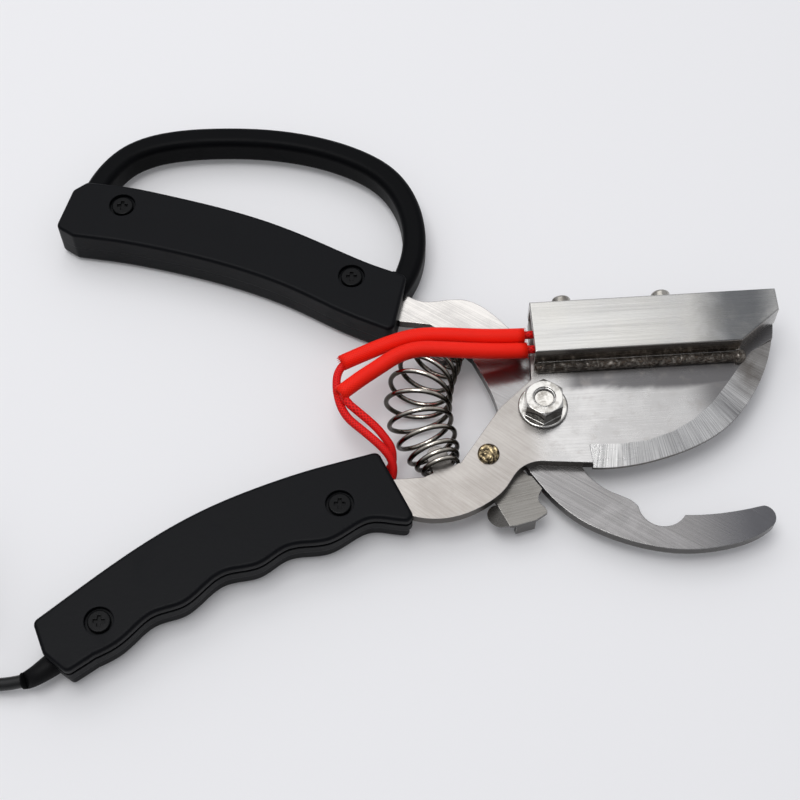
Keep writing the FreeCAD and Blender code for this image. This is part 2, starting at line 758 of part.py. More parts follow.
def weld_bead():
    """A round bead along the front foot, thicker where it ends, flat on the blade lever."""
    level = amount(BLADE_LEVER_TOP)
    foot = in_housing(size("weld_radius"), -size("weld_reach"), level + size("weld_rise"))
    end = foot + housing_along * size("weld_length")
    bead = cylinder(foot, housing_along, size("weld_radius"), size("weld_length"))
    bead = bead.fuse(Part.makeSphere(size("weld_radius"), foot))
    bead = bead.fuse(Part.makeSphere(size("weld_end_radius"), end))
    below = prism(Part.Wire(Part.makePolygon([
        in_housing(-housing_length, -housing_depth), in_housing(2 * housing_length, -housing_depth),
        in_housing(2 * housing_length, housing_depth), in_housing(-housing_length, housing_depth),
        in_housing(-housing_length, -housing_depth)])), level)
    return bead.cut(below)


housing_screw_places = [share * housing_length for share in HOUSING_SCREW_SHARES]
housing_screw_level = amount(BLADE_LEVER_TOP + ["clamp_screw_rise"])


def housing_screw_holes():
    holes = []
    for along in housing_screw_places:
        start = in_housing(along, housing_depth + size("overrun"), housing_screw_level)
        radius = size("pan_screw_diameter") / 2 + size("screw_clearance")
        holes.append(cylinder(start, -housing_across, radius, housing_wall + 2 * size("overrun")))
    return Part.makeCompound(holes)


heater_housing = fuse("housing_welded", housing_box, solid_piece("weld_bead", weld_bead()))
screw_holes = solid_piece("housing_screw_holes", housing_screw_holes())
heater_housing = cut("housing_drilled", heater_housing, screw_holes)
place(heater_housing, "heater_housing")

# Inside the housing: an end bush, the heating cartridge, and a block that two screws press against it

heater_floor = BLADE_LEVER_TOP + ["inner_gap"]
heater_end_bush = new_body("end_bush")
bush_front = housing_wall + size("inner_gap")
bush_plan = housing_frame([
    (size("bush_inset"), bush_front), (size("bush_inset") + size("bush_length"), bush_front),
    (size("bush_inset") + size("bush_length"), bush_front + size("bush_depth")),
    (size("bush_inset"), bush_front + size("bush_depth"))])
pad(heater_end_bush, draw(heater_end_bush, "bush_plan", heater_floor, bush_plan), ["bush_height"])
place(heater_end_bush, "heater_end_bush")

cartridge_across = housing_wall + size("inner_gap") + size("heater_diameter") / 2
cartridge_level = amount(heater_floor) + size("heater_diameter") / 2
bush_end = size("bush_inset") + size("bush_length")
heater_length = inner_end - size("heater_end_gap") - bush_end
cartridge_start = in_housing(bush_end, cartridge_across, cartridge_level)
cartridge = cylinder(cartridge_start, housing_along, size("heater_diameter") / 2, heater_length)
place(solid_piece("cartridge", cartridge), "heater_cartridge")

block_front = cartridge_across + size("heater_diameter") / 2
block_back = block_front + size("clamp_block_depth")
clamp_block = new_body("block")
block_start = size("clamp_block_inset")
block_end = inner_end - size("clamp_block_end_gap")
block_plan = housing_frame([
    (block_start, block_front), (block_end, block_front), (block_end, block_back), (block_start, block_back)])
pad(clamp_block, draw(clamp_block, "block_plan", heater_floor, block_plan), ["clamp_block_height"])
place(clamp_block, "clamp_block")


def screw(seat, way, head_diameter, head_height, diameter, length):
    """A cross-recessed screw: its head's underside lies at the seat, and its shank runs the way given."""
    head = cylinder(seat, -way, head_diameter / 2, head_height)
    top = seat - way * head_height
    rim = [edge for edge in head.Edges if edge.BoundBox.DiagonalLength > head_height and
           (edge.CenterOfMass - top).Length < SAME]
    head = head.makeFillet(head_height / 3, rim)
    slot = head_diameter / 6
    aside = way.cross(UP) if abs(way.dot(UP)) < 1 - SAME else Vector(1, 0, 0)
    aside.normalize()
    upward = way.cross(aside)
    for one, other in ((aside, upward), (upward, aside)):
        start = top - one * (head_diameter / 4) - other * (slot / 2)
        corners = [start, start + one * (head_diameter / 2), start + one * (head_diameter / 2) + other * slot,
                   start + other * slot, start]
        head = head.cut(Part.Face(Part.makePolygon(corners)).extrude(way * (head_height / 2)))
    return head.fuse(cylinder(seat, way, diameter / 2, length)).removeSplitter()


housing_screws = []
for along in housing_screw_places:
    seat_place = in_housing(along, housing_depth, housing_screw_level)
    housing_screws.append(screw(
        seat_place, -housing_across, size("pan_head_diameter"), size("pan_head_height"),
        size("pan_screw_diameter"), housing_depth - block_back))
place(solid_piece("pan_screws", Part.makeCompound(housing_screws)), "housing_screws")

# Latch: a bent plate that swings on a rivet below the blade lever

LATCH_PATH = rear_points(LATCH_OUTLINE_SHARES)


def latch_shape():
    floor = amount(LATCH_FLOOR)
    thickness = size("latch_thickness")
    eye_radius = LATCH_EYE_SHARE * size("handle_reach")
    outline = Outline(LATCH_PATH[0])
    outline.line(LATCH_PATH[1])
    outline.curve(*LATCH_PATH[2:7])
    outline.line(*LATCH_PATH[7:])
    plate = prism(outline.close().wire(floor), thickness)
    plate = plate.fuse(cylinder(RIVET_CENTRE + UP * floor, UP, eye_radius, thickness))
    tab_start, tab_end = rear_points(LATCH_TAB_SHARES)
    inward = UP.cross(tab_end - tab_start).normalize() * thickness
    tab = [tab_start, tab_end, tab_end + inward, tab_start + inward, tab_start]
    tab_floor = amount(LATCH_TOP) - size("latch_tab_drop")
    plate = plate.fuse(prism(Part.makePolygon(tab).translated(UP * tab_floor), size("latch_tab_drop")))
    fold_start, fold_end = rear_points(LATCH_FOLD_SHARES)
    lobe_outline = Outline(fold_start)
    lobe_outline.curve(*rear_points(LATCH_LOBE_SHARES))
    lobe_outline.line(fold_end)
    lobe = prism(lobe_outline.close().wire(floor), thickness)
    lobe.rotate(fold_start + UP * amount(LATCH_TOP), fold_end - fold_start, size("latch_lobe_angle"))
    plate = plate.fuse(lobe)
    hole = cylinder(RIVET_CENTRE, UP, size("rivet_diameter") / 2 + size("rivet_clearance"), amount(LATCH_TOP))
    beside = prism(widened(guard_outline, size("latch_side_gap")), amount(LATCH_TOP))
    return plate.cut(hole).cut(beside).removeSplitter()


place(solid_piece("latch_plate", latch_shape()), "latch")

RIVET_TAIL_TOP = LATCH_FLOOR + ["-lever_gap"]
RIVET_TAIL_FLOOR = RIVET_TAIL_TOP + ["-rivet_tail_height"]
latch_rivet = stack("rivet", [RIVET_CENTRE], [
    (RIVET_TAIL_FLOOR, ["rivet_tail_height"], "rivet_head_diameter"),
    (RIVET_TAIL_TOP, ["lever_gap", "latch_thickness", "latch_gap", "lever_thickness"], "rivet_diameter"),
    (BLADE_LEVER_TOP, ["rivet_head_height"], "rivet_head_diameter")])
rivet_rims = level_edges(latch_rivet.Tip.Shape, amount(BLADE_LEVER_TOP + ["rivet_head_height"]))
round_edges(latch_rivet, latch_rivet.Tip, rivet_rims, "rivet_round")
place(latch_rivet, "latch_rivet")

# Wound and bent round bars


def arc_between(start, way, end):
    """The arc that leaves the start the way given and ends at the end."""
    chord = end - start
    along = Vector(chord).normalize()
    aside = way - along * way.dot(along)
    if aside.Length < SAME:
        return Part.LineSegment(start, end)
    half_angle = way.getAngle(chord) / 2
    middle = (start + end) * 0.5 + aside.normalize() * (chord.Length / 2 * math.tan(half_angle))
    return Part.Arc(start, middle, end)


def winding(places, ways):
    """Two tangent arcs from each place to the next, that leave and arrive the ways given."""
    curves = []
    for start, end, leave, arrive in zip(places, places[1:], ways, ways[1:]):
        chord = end - start
        both = leave + arrive
        spread = 2 * (1 - leave.dot(arrive))
        lean = chord.dot(both)
        reach = (math.sqrt(lean * lean + spread * chord.dot(chord)) - lean) / spread
        join = (start + end + (leave - arrive) * reach) * 0.5
        join_way = (join - start - leave * reach).normalize()
        curves.append(arc_between(start, leave, join))
        curves.append(arc_between(join, join_way, end))
    return curves


def rounded_route(name, places, share=0.45):
    """Straight runs joined by tangent arcs, each as large as its two runs allow."""
    curves = []
    radii = []
    start = places[0]
    for before, corner, after in zip(places, places[1:], places[2:]):
        reach = share * min((corner - before).Length, (after - corner).Length)
        arrive = (corner - before).normalize()
        leave = (after - corner).normalize()
        half_turn = arrive.getAngle(leave) / 2
        radius = reach / math.tan(half_turn)
        inward = (leave - arrive).normalize()
        middle = corner + inward * (radius / math.cos(half_turn) - radius)
        curves.append(Part.LineSegment(start, corner - arrive * reach))
        curves.append(Part.Arc(corner - arrive * reach, middle, corner + leave * reach))
        radii.append(radius)
        start = corner + leave * reach
    curves.append(Part.LineSegment(start, places[-1]))
    print(name, "bend radii", [round(radius) for radius in radii])
    return curves


def tube(name, curves, diameter):
    """A round bar along joined curves, whose volume is compared with its section times its length."""
    path = Part.Wire([curve.toShape() for curve in curves])
    first = path.Edges[0]
    start = first.valueAt(first.FirstParameter)
    way = first.tangentAt(first.FirstParameter)
    section = Part.Wire(Part.makeCircle(diameter / 2, start, way))
    bar = path.makePipeShell([section], True, False)
    expected = math.pi * diameter * diameter / 4 * path.Length
    print(name, "length", round(path.Length, 1), "volume share", round(bar.Volume / expected, 4))
    return bar


def report_gap(name, curves, diameter, apart):
    """Print the least gap of a wound bar to itself, between points at least so far apart along it."""
    path = Part.Wire([curve.toShape() for curve in curves])
    points = path.discretize(Number=600)
    step = path.Length / (len(points) - 1)
    skip = math.ceil(apart / step)
    nearest = min(points[i].distanceToPoint(points[j])
                  for i in range(len(points)) for j in range(i + skip, len(points)))
    print(name, "least gap", round(nearest - diameter, 2))


# Return spring: a barrel of closed end turns and open middle turns on a bowed axis

spring_wire = size("spring_wire")
spring_turns = size("spring_turns")
SPRING_END_TURNS_SHARES = (2 / 11, 1.5 / 11)
SPRING_STEPS = 4


def spring_axis():
    """The bowed centre line between the two seats."""
    low = blade_seat_foot + UP * (amount(BLADE_LEVER_FLOOR) + size("lever_thickness") / 2)
    high = guard_seat_foot + UP * (amount(GUARD_LEVER_FLOOR) + size("lever_thickness") / 2)
    low_way = Vector(math.cos(blade_seat_lean), math.sin(blade_seat_lean), 0)
    high_way = Vector(math.cos(guard_seat_lean), math.sin(guard_seat_lean), 0)
    stand_off = spring_wire / 2 + size("spring_seat_gap")
    bow = behind(SPRING_BOW_SHARES)
    bow.z = low.z / 2 + high.z / 2 + size("spring_rise")
    axis = Part.BSplineCurve()
    axis.interpolate(Points=[low + low_way * stand_off, bow, high + high_way * stand_off],
                     InitialTangent=low_way, FinalTangent=-high_way)
    return axis


def spring_curves():
    axis = spring_axis()
    length = axis.length()
    low_turns, high_turns = [share * spring_turns for share in SPRING_END_TURNS_SHARES]
    closed = size("spring_closed_pitch")
    open_turns = spring_turns - low_turns - high_turns - 1
    opened = closed + (length - closed * spring_turns) / open_turns

    def rise(turn):
        """How far along the axis the wire has climbed after so many turns."""
        count = 200
        climbed = 0
        for step in range(count):
            here = (step + 0.5) / count * turn
            openness = min(1, max(0, here - low_turns), max(0, spring_turns - high_turns - here))
            climbed += (closed + (opened - closed) * openness) * turn / count
        return min(climbed, length)

    places = []
    for step in range(int(spring_turns * SPRING_STEPS) + 1):
        turn = step / SPRING_STEPS
        share = turn / spring_turns
        radius = size("spring_end_radius") + (
            size("spring_middle_radius") - size("spring_end_radius")) * math.sin(math.pi * share)
        parameter = axis.parameterAtDistance(rise(turn))
        along = Vector(*axis.tangent(parameter)[0]).normalize()
        aside = along.cross(UP).normalize()
        over = aside.cross(along)
        angle = 2 * math.pi * turn
        reach = aside * (radius * math.cos(angle)) + over * (radius * math.sin(angle))
        places.append(axis.value(parameter) + reach)
    smooth = Part.BSplineCurve()
    smooth.interpolate(places)
    ways = [Vector(*smooth.tangent(smooth.parameter(place))[0]).normalize() for place in places]
    return winding(places, ways)


spring_path = spring_curves()
place(solid_piece("spring", tube("return_spring", spring_path, spring_wire)), "return_spring")
report_gap("return_spring", spring_path, spring_wire, 3 * size("spring_end_radius"))

# Grips: each a front and a rear shell round a lever's tail


def rounded(corners, radius):
    """Corners of an outline's end as short arcs: the two ends and the middle of each."""
    arcs = []
    for before, corner, after in zip(corners, corners[1:], corners[2:]):
        arrive = (corner - before).normalize()
        leave = (after - corner).normalize()
        half_turn = arrive.getAngle(leave) / 2
        reach = radius * math.tan(half_turn)
        inward = (leave - arrive).normalize()
        middle = corner + inward * (radius / math.cos(half_turn) - radius)
        arcs.append((corner - arrive * reach, middle, corner + leave * reach))
    return arcs


def grip_outline(stretches, inset=0):
    """A grip's plan, drawn in by an inset: back edge to the jaws, nose, front edge to the tail, tail end."""
    radius = max(size("grip_corner_round") - inset, size("cavity_corner_round"))
    places = drawn_in([place for stretch in stretches for place in stretch], inset)
    back = places[:len(stretches[0])]
    front = places[len(back):len(back) + len(stretches[1])]
    end = places[len(back) + len(front):]
    nose = rounded([back[-2], back[-1], front[0], front[1]], radius)
    tail = rounded([front[-2], front[-1]] + end + [back[0], back[1]], radius)
    outline = Outline(tail[-1][-1])
    outline.curve(*back[1:-1], nose[0][0], ways=[back[1] - back[0], back[-1] - back[-2]])
    outline.arc(*nose[0][1:])
    outline.line(nose[1][0])
    outline.arc(*nose[1][1:])
    outline.curve(*front[1:-1], tail[0][0], ways=[front[1] - front[0], front[-1] - front[-2]])
    outline.arc(*tail[0][1:])
    for start, middle, finish in tail[1:]:
        outline.line(start)
        outline.arc(middle, finish)
    return outline


def finger_points():
    """The finger edge of the lower grip, from its nose to its tail end."""
    start = behind(LOWER_GRIP_NOSE_SHARES)
    end = behind(LOWER_GRIP_END_SHARES[0])
    chord = end - start
    inward = Vector(chord.y, -chord.x, 0)
    return [start] + [start + chord * along + inward * depth for along, depth in FINGER_EDGE_SHARES] + [end]


UPPER_GRIP = [rear_points(shares) for shares in (
    UPPER_GRIP_BACK_SHARES, UPPER_GRIP_FRONT_SHARES, UPPER_GRIP_END_SHARES)]
LOWER_GRIP = [rear_points(LOWER_GRIP_BACK_SHARES), finger_points(), rear_points(LOWER_GRIP_END_SHARES[1:])]
END_WALL_FOOT = behind(LOWER_GRIP_BACK_SHARES[-1])
END_WALL_WAY = (behind(LOWER_GRIP_NOSE_SHARES) - END_WALL_FOOT).normalize()


def cavity(stretches, inset, screws, floor, ceiling):
    """The room inside a shell, less a round boss at each screw."""
    level = amount(floor)
    height = amount(ceiling) - level
    room = prism(grip_outline(stretches, inset + size("grip_wall")).wire(level), height)
    for centre in screws:
        room = room.cut(cylinder(centre + UP * level, UP, size("boss_diameter") / 2, height))
    return room


def front_shell(name, stretches, screws):
    body = new_body(name)
    plan = draw(body, name + "_plan", GRIP_SPLIT, grip_outline(stretches).pieces)
    base = pad(body, plan, GRIP_TOP + ["-rear_shell_height"])
    round_edges(body, base, level_edges(base.Shape, amount(GRIP_TOP)), "grip_edge_round")
    pocket(body, circles(body, name + "_recess", GRIP_TOP, screws, "recess_diameter"), ["recess_depth"])
    holes = circles(body, name + "_holes", GRIP_TOP, screws, "grip_screw_diameter", "screw_clearance")
    pocket(body, holes, GRIP_TOP)
    return body


def rear_shell(name, stretches, screws, inset):
    body = new_body(name)
    base = pad(body, draw(body, name + "_plan", [], grip_outline(stretches, inset).pieces), GRIP_SPLIT)
    round_edges(body, base, level_edges(base.Shape, 0), "grip_back_round")
    nuts = []
    for centre in screws:
        nuts += traced(hexagon(centre, size("grip_nut_flats") + 2 * size("screw_clearance")))
    pocket(body, draw(body, name + "_nuts", [], nuts), ["nut_pocket_depth"], True)
    holes = circles(body, name + "_holes", GRIP_SPLIT, screws, "grip_screw_diameter", "screw_clearance")
    pocket(body, holes, GRIP_SPLIT)
    return body


def tail_slot(outline, floor, screws):
    """The space of a lever's tail, with clearance all round, less the bosses that pass through it."""
    gap = size("inner_gap")
    wire = widened(outline, size("tail_clearance")).translated(UP * (amount(floor) - gap))
    slot = prism(wire, size("lever_thickness") + 2 * gap)
    for centre in screws:
        slot = slot.cut(cylinder(centre, UP, size("boss_diameter") / 2, size("grip_height")))
    return slot


def tab_block(share, angle, spare):
    """A tab of the hand guard, or with some spare the hole for it in the grip's wall."""
    turn = math.radians(angle)
    inward = Vector(math.cos(turn), math.sin(turn), 0)
    aside = Vector(-inward.y, inward.x, 0) * (size("tab_width") / 2 + spare)
    start = behind(share) - inward * size("overrun")
    end = behind(share) + inward * (size("tab_length") + spare)
    corners = [start + aside, start - aside, end - aside, end + aside, start + aside]
    floor = size("tab_floor") - spare
    return prism(Part.makePolygon(corners).translated(UP * floor), size("tab_height") + 2 * spare)


def tab_blocks(spare):
    return [tab_block(share, angle, spare) for share, angle in zip(GUARD_TAB_SHARES, GUARD_TAB_ANGLES)]


def lead_window():
    """The opening in the lower grip's end wall through which the two leads enter."""
    along = size("window_width") / 2 + size("grip_wall") + size("rear_inset")
    middle = END_WALL_FOOT + END_WALL_WAY * along
    inward = Vector(END_WALL_WAY.y, -END_WALL_WAY.x, 0) * (size("grip_wall") + size("overrun"))
    half = END_WALL_WAY * (size("window_width") / 2)
    corners = [middle + half + inward, middle - half + inward, middle - half - inward, middle + half - inward,
               middle + half + inward]
    return prism(Part.makePolygon(corners).translated(UP * size("window_floor")), size("window_height"))


def edge_groove(stretches):
    """A narrow band round a shell's side, just below its top."""
    level = amount(GROOVE_TOP) - size("groove_height")
    outer = prism(grip_outline(stretches, -size("overrun")).wire(level), size("groove_height"))
    return outer.cut(prism(grip_outline(stretches, size("groove_depth")).wire(level), size("groove_height")))


# Boot: a tapered strain relief that grips the cord at the lower grip's tail end

BOOT_STATIONS = [
    (Vector(-164.9, -91.0, 7.0), Vector(-0.76, -0.65, 0)),
    (Vector(-169.3, -94.7, 7.0), Vector(-0.76, -0.65, 0)),
    (Vector(-173.4, -97.6, 6.7), Vector(-0.87, -0.45, -0.12)),
    (Vector(-177.8, -99.3, 6.0), Vector(-0.967, -0.156, -0.203)),
]
BOOT_TAPER_SHARES = [0, 0.08, 0.5, 1]


def boot_shape():
    wide = size("boot_diameter") / 2
    narrow = size("boot_tip_diameter") / 2
    rings = []
    for (centre, way), taper in zip(BOOT_STATIONS, BOOT_TAPER_SHARES):
        rings.append(Part.Wire(Part.makeCircle(wide + (narrow - wide) * taper, centre, way)))
    foot, way = BOOT_STATIONS[0]
    flange = cylinder(foot, way, size("boot_flange_diameter") / 2, size("boot_flange_thickness"))
    return Part.makeLoft(rings, True, False).fuse(flange)


def boot_hole():
    foot, way = BOOT_STATIONS[0]
    radius = size("boot_diameter") / 2 + size("inner_gap")
    hole = cylinder(foot, way, radius, size("boot_diameter") + size("overrun"))
    room = cylinder(foot - way * size("overrun"), way, size("boot_flange_diameter") / 2 + size("inner_gap"),
                    size("boot_flange_thickness") + size("inner_gap") + size("overrun"))
    return hole.fuse(room)


# Routes of the cord and the leads, chosen points

CORD_INNER_ROUTE = [
    (-164.85, -90.96, 7.0), (-160.6, -87.3, 7.0), (-159.4, -80.5, 6.2), (-153.0, -72.6, 5.3),
    (-143.5, -68.6, 4.8), (-132.0, -65.2, 4.8), (-120.5, -58.5, 5.2),
]
CORE_ROUTES = [
    [(-121.0, -57.7, 5.2), (-114.5, -53.4, 5.7), (-108.5, -47.2, 6.6), (-102.5, -42.9, 7.0)],
    [(-120.0, -59.3, 5.2), (-112.8, -57.2, 5.6), (-106.2, -54.3, 6.4), (-100.5, -49.8, 6.9)],
]
LEAD_ROUTES = [
    [(-91.0, -42.2, 6.8), (-84.0, -36.6, 6.6), (-73.0, -32.0, 6.6), (-63.0, -29.3, 6.9), (-58.0, -28.4, 7.0),
     (-53.6, -26.0, 10.2), (-53.7, -21.6, 15.1), (-57.8, -17.6, 18.9), (-66.0, -11.3, 20.2),
     (-71.6, -4.8, 20.4), (-74.8, 2.5, 20.5), (-74.4, 11.0, 20.8), (-70.4, 17.3, 21.1),
     (-62.2, 20.9, 21.4), (-51.3, 25.0, 21.9), (-40.2, 26.2, 22.0), (-28.0, 26.6, 21.5),
     (-16.0, 27.4, 20.5), (-6.4, 29.1, 19.2), (1.5, 29.64, 18.6)],
    [(-92.0, -36.8, 7.0), (-84.0, -32.2, 7.0), (-73.0, -28.4, 7.0), (-63.0, -25.5, 7.2), (-58.2, -24.3, 7.4),
     (-53.8, -21.4, 10.6), (-53.9, -16.9, 15.6), (-57.6, -12.9, 19.6), (-61.9, -8.2, 21.2),
     (-66.9, -1.9, 21.6), (-68.3, 5.4, 22.2), (-63.6, 11.6, 22.8), (-56.2, 15.6, 23.5),
     (-47.7, 18.9, 23.8), (-37.8, 20.2, 23.7), (-26.5, 20.2, 22.6), (-14.6, 20.8, 20.9),
     (-5.2, 22.6, 19.2), (2.0, 23.3, 18.6)],
]
SLEEVE_FIRST_RUNS = [11, 10]
POWER_CORD_ROUTE = [
    (-177.8, -99.3, 6.0), (-184.0, -100.3, 4.7), (-193.5, -99.4, 3.4), (-206.0, -97.9, 3.25),
    (-218.5, -96.9, 3.25), (-227.5, -96.9, 3.25),
]
CORD_TAIL_ROUTE = [
    (-263.78, -61.9, 18.25), (-263.78, -53.0, 18.25), (-264.6, -43.2, 15.2), (-266.3, -33.9, 10.6),
    (-267.5, -24.5, 7.6), (-268.0, -15.0, 6.75), (-268.0, -7.0, 6.75),
]


def route(points):
    return [Vector(*point) for point in points]


# Cord inside the lower grip, its clamp, and the crimps that join its cores to the heater leads

inner_cord = route(CORD_INNER_ROUTE)
inner_pieces = [tube("cord_inner", rounded_route("cord_inner", inner_cord), size("cord_diameter"))]
for core in CORE_ROUTES:
    inner_pieces.append(tube("cord_core", rounded_route("cord_core", route(core)), size("core_diameter")))
place(solid_piece("inner_cord", Part.makeCompound(inner_pieces)), "cord_inner")

clamp_run_end, clamp_run_start = inner_cord[-2], inner_cord[-3]
clamp_middle = (clamp_run_start + clamp_run_end) * 0.5
clamp_way = clamp_run_end - clamp_run_start
clamp_way.z = 0
clamp_way.normalize()
clamp_aside = Vector(-clamp_way.y, clamp_way.x, 0)
clamp_centre = Vector(clamp_middle.x, clamp_middle.y, 0)
CLAMP_POSTS = [clamp_centre + clamp_aside * (side * size("clamp_post_spacing") / 2) for side in (-1, 1)]

clamp_half = clamp_way * (size("clamp_bar_width") / 2)
clamp_end = clamp_aside * (size("clamp_bar_length") / 2)
bar_corners = [clamp_centre + clamp_half + clamp_end, clamp_centre - clamp_half + clamp_end,
               clamp_centre - clamp_half - clamp_end, clamp_centre + clamp_half - clamp_end]
clamp_bar = new_body("clamp_bar")
bar_plan = [Part.LineSegment(a, b) for a, b in zip(bar_corners, bar_corners[1:] + bar_corners[:1])]
pad(clamp_bar, draw(clamp_bar, "clamp_bar_plan", ["clamp_floor"], bar_plan), ["clamp_bar_thickness"])
bar_holes = circles(clamp_bar, "clamp_bar_holes", ["clamp_floor", "clamp_bar_thickness"], CLAMP_POSTS,
                    "clamp_screw_diameter", "screw_clearance")
pocket(clamp_bar, bar_holes, ["clamp_bar_thickness"])
place(clamp_bar, "cord_clamp")

clamp_screws = []
for post in CLAMP_POSTS:
    seat_place = post + UP * (size("clamp_floor") + size("clamp_bar_thickness"))
    clamp_screws.append(screw(seat_place, -UP, size("clamp_head_diameter"), size("clamp_head_height"),
                              size("clamp_screw_diameter"), size("clamp_screw_depth")))
place(solid_piece("small_screws", Part.makeCompound(clamp_screws)), "clamp_screws")


def clamp_posts():
    """Two hollow posts that stand on the lower grip's floor, one on each side of the cord."""
    posts = []
    bore = size("clamp_screw_diameter") / 2 + size("screw_clearance")
    bore_depth = size("clamp_screw_depth") - size("clamp_bar_thickness") + size("screw_clearance")
    floor = size("grip_wall") - size("inner_gap")
    for centre in CLAMP_POSTS:
        post = cylinder(centre + UP * floor, UP, size("clamp_post_diameter") / 2, size("clamp_floor") - floor)
        posts.append(post.cut(cylinder(centre + UP * size("clamp_floor"), -UP, bore, bore_depth)))
    return Part.makeCompound(posts)


lead_curves = [rounded_route("heater_lead_%d" % number, route(points))
               for number, points in enumerate(LEAD_ROUTES, start=1)]
crimps = []
for points in LEAD_ROUTES:
    start, beyond = route(points[:2])
    backward = (start - beyond).normalize()
    crimps.append(cylinder(start, backward, size("crimp_diameter") / 2, size("crimp_length")))
place(solid_piece("crimps", Part.makeCompound(crimps)), "lead_crimps")

for number, (curves, first) in enumerate(zip(lead_curves, SLEEVE_FIRST_RUNS), start=1):
    last = curves[-1]
    way = (last.EndPoint - last.StartPoint).normalize()
    bush_face = in_housing(size("bush_inset") - size("inner_gap"), 0)
    bush_gap = (bush_face - last.EndPoint).dot(housing_along) / way.dot(housing_along)
    onward = Part.LineSegment(last.StartPoint, last.EndPoint + way * bush_gap)
    lead = tube("heater_lead_%d" % number, curves[:-1] + [onward], size("lead_diameter"))
    place(solid_piece("lead_%d" % number, lead), "heater_lead_%d" % number)
    covered = curves[2 * first:]
    sleeve = tube("lead_sleeve_%d" % number, covered, size("sleeve_diameter"))
    bore = tube("sleeve bore", covered, size("sleeve_bore"))
    place(solid_piece("sleeve_%d" % number, sleeve.cut(bore)), "lead_sleeve_%d" % number)

# Shells of the two grips

lower_front = front_shell("lower_front", LOWER_GRIP, LOWER_SCREWS)
lower_rear = rear_shell("lower_rear", LOWER_GRIP, LOWER_SCREWS, size("rear_inset"))
upper_front = front_shell("upper_front", UPPER_GRIP, UPPER_SCREWS)
upper_rear = rear_shell("upper_rear", UPPER_GRIP, UPPER_SCREWS, size("guard_gap"))
lower_openings = [tail_slot(blade_outline, BLADE_LEVER_FLOOR, LOWER_SCREWS), lead_window(), boot_hole()]
upper_openings = [tail_slot(guard_outline, GUARD_LEVER_FLOOR, UPPER_SCREWS)] + tab_blocks(size("guard_gap"))


def pierced(name, body, openings):
    """A shell less its cavity and the openings cut through it."""
    for number, opening in enumerate(openings, start=1):
        tool = solid_piece("%s_opening_%d" % (name, number), opening)
        body = cut("%s_cut_%d" % (name, number), body, tool)
        if body.Shape.isNull():
            raise ValueError(body.Name + " failed")
    return body


lower_front_room = cavity(LOWER_GRIP, 0, LOWER_SCREWS, GRIP_SPLIT, GRIP_CEILING)
lower_front_openings = [lower_front_room, edge_groove(LOWER_GRIP)] + lower_openings
place(pierced("lower_front", lower_front, lower_front_openings), "lower_grip_front")
upper_front_room = cavity(UPPER_GRIP, 0, UPPER_SCREWS, GRIP_SPLIT, GRIP_CEILING)
place(pierced("upper_front", upper_front, [upper_front_room] + upper_openings), "upper_grip_front")
lower_rear_room = cavity(LOWER_GRIP, size("rear_inset"), LOWER_SCREWS, GRIP_FLOOR, GRIP_SPLIT)
lower_rear = pierced("lower_rear", lower_rear, [lower_rear_room] + lower_openings)
place(fuse("lower_rear_posts", lower_rear, solid_piece("clamp_posts", clamp_posts())), "lower_grip_rear")
upper_rear_room = cavity(UPPER_GRIP, size("guard_gap"), UPPER_SCREWS, GRIP_FLOOR, GRIP_SPLIT)
place(pierced("upper_rear", upper_rear, [upper_rear_room] + upper_openings), "upper_grip_rear")

HEAD_SEAT = GRIP_TOP + ["-recess_depth"]
NUT_SEAT = ["nut_pocket_depth"]
for side, screws in (("lower", LOWER_SCREWS), ("upper", UPPER_SCREWS)):
    shank_length = amount(HEAD_SEAT) - size("nut_pocket_depth") + size("grip_nut_height")
    grip_screws = []
    grip_nuts = []
    for centre in screws:
        grip_screws.append(screw(centre + UP * amount(HEAD_SEAT), -UP, size("grip_head_diameter"),
                                 size("grip_head_height"), size("grip_screw_diameter"), shank_length))
        floor = amount(NUT_SEAT) - size("grip_nut_height")
        nut = prism(hexagon(centre + UP * floor, size("grip_nut_flats")), size("grip_nut_height"))
        bore = size("grip_screw_diameter") / 2 + size("bolt_clearance")
        grip_nuts.append(nut.cut(cylinder(centre, UP, bore, size("rear_shell_height"))))
    place(solid_piece(side + "_screws", Part.makeCompound(grip_screws)), side + "_grip_screws")
    place(solid_piece(side + "_nuts", Part.makeCompound(grip_nuts)), side + "_grip_nuts")

# Hand guard: a rounded strip that loops over the upper grip, with a tab at each foot

guard_strip = new_body("guard_strip")
strip_outline = Outline(behind(GUARD_OUTER_SHARES[0]))
strip_outline.curve(*rear_points(GUARD_OUTER_SHARES[1:]))
strip_outline.line(behind(GUARD_INNER_SHARES[0]))
strip_outline.curve(*rear_points(GUARD_INNER_SHARES[1:]))
strip_outline.close()
strip_pad = pad(guard_strip, draw(guard_strip, "guard_strip_plan", ["guard_floor"], strip_outline.pieces),
                ["guard_height"])
strip_edges = level_edges(strip_pad.Shape, size("guard_floor")) + level_edges(
    strip_pad.Shape, amount(["guard_floor", "guard_height"]))
round_edges(guard_strip, strip_pad, strip_edges, "guard_round")
grip_space = solid_piece(
    "grip_space", prism(grip_outline(UPPER_GRIP, -size("guard_gap")).wire(), size("grip_height")))
guard_feet = cut("guard_feet", guard_strip, grip_space)
lever_space = solid_piece("lever_space", tail_slot(guard_outline, GUARD_LEVER_FLOOR, []))
guard_feet = cut("guard_feet_beside_lever", guard_feet, lever_space)
guard_tabs = solid_piece("guard_tabs", Part.makeCompound(tab_blocks(0)))
place(fuse("guard_with_tabs", guard_feet, guard_tabs), "hand_guard")

# Cord outside: boot, free stretch, put-away coil, tail, tie and plug

place(solid_piece("boot", boot_shape()), "cord_boot")

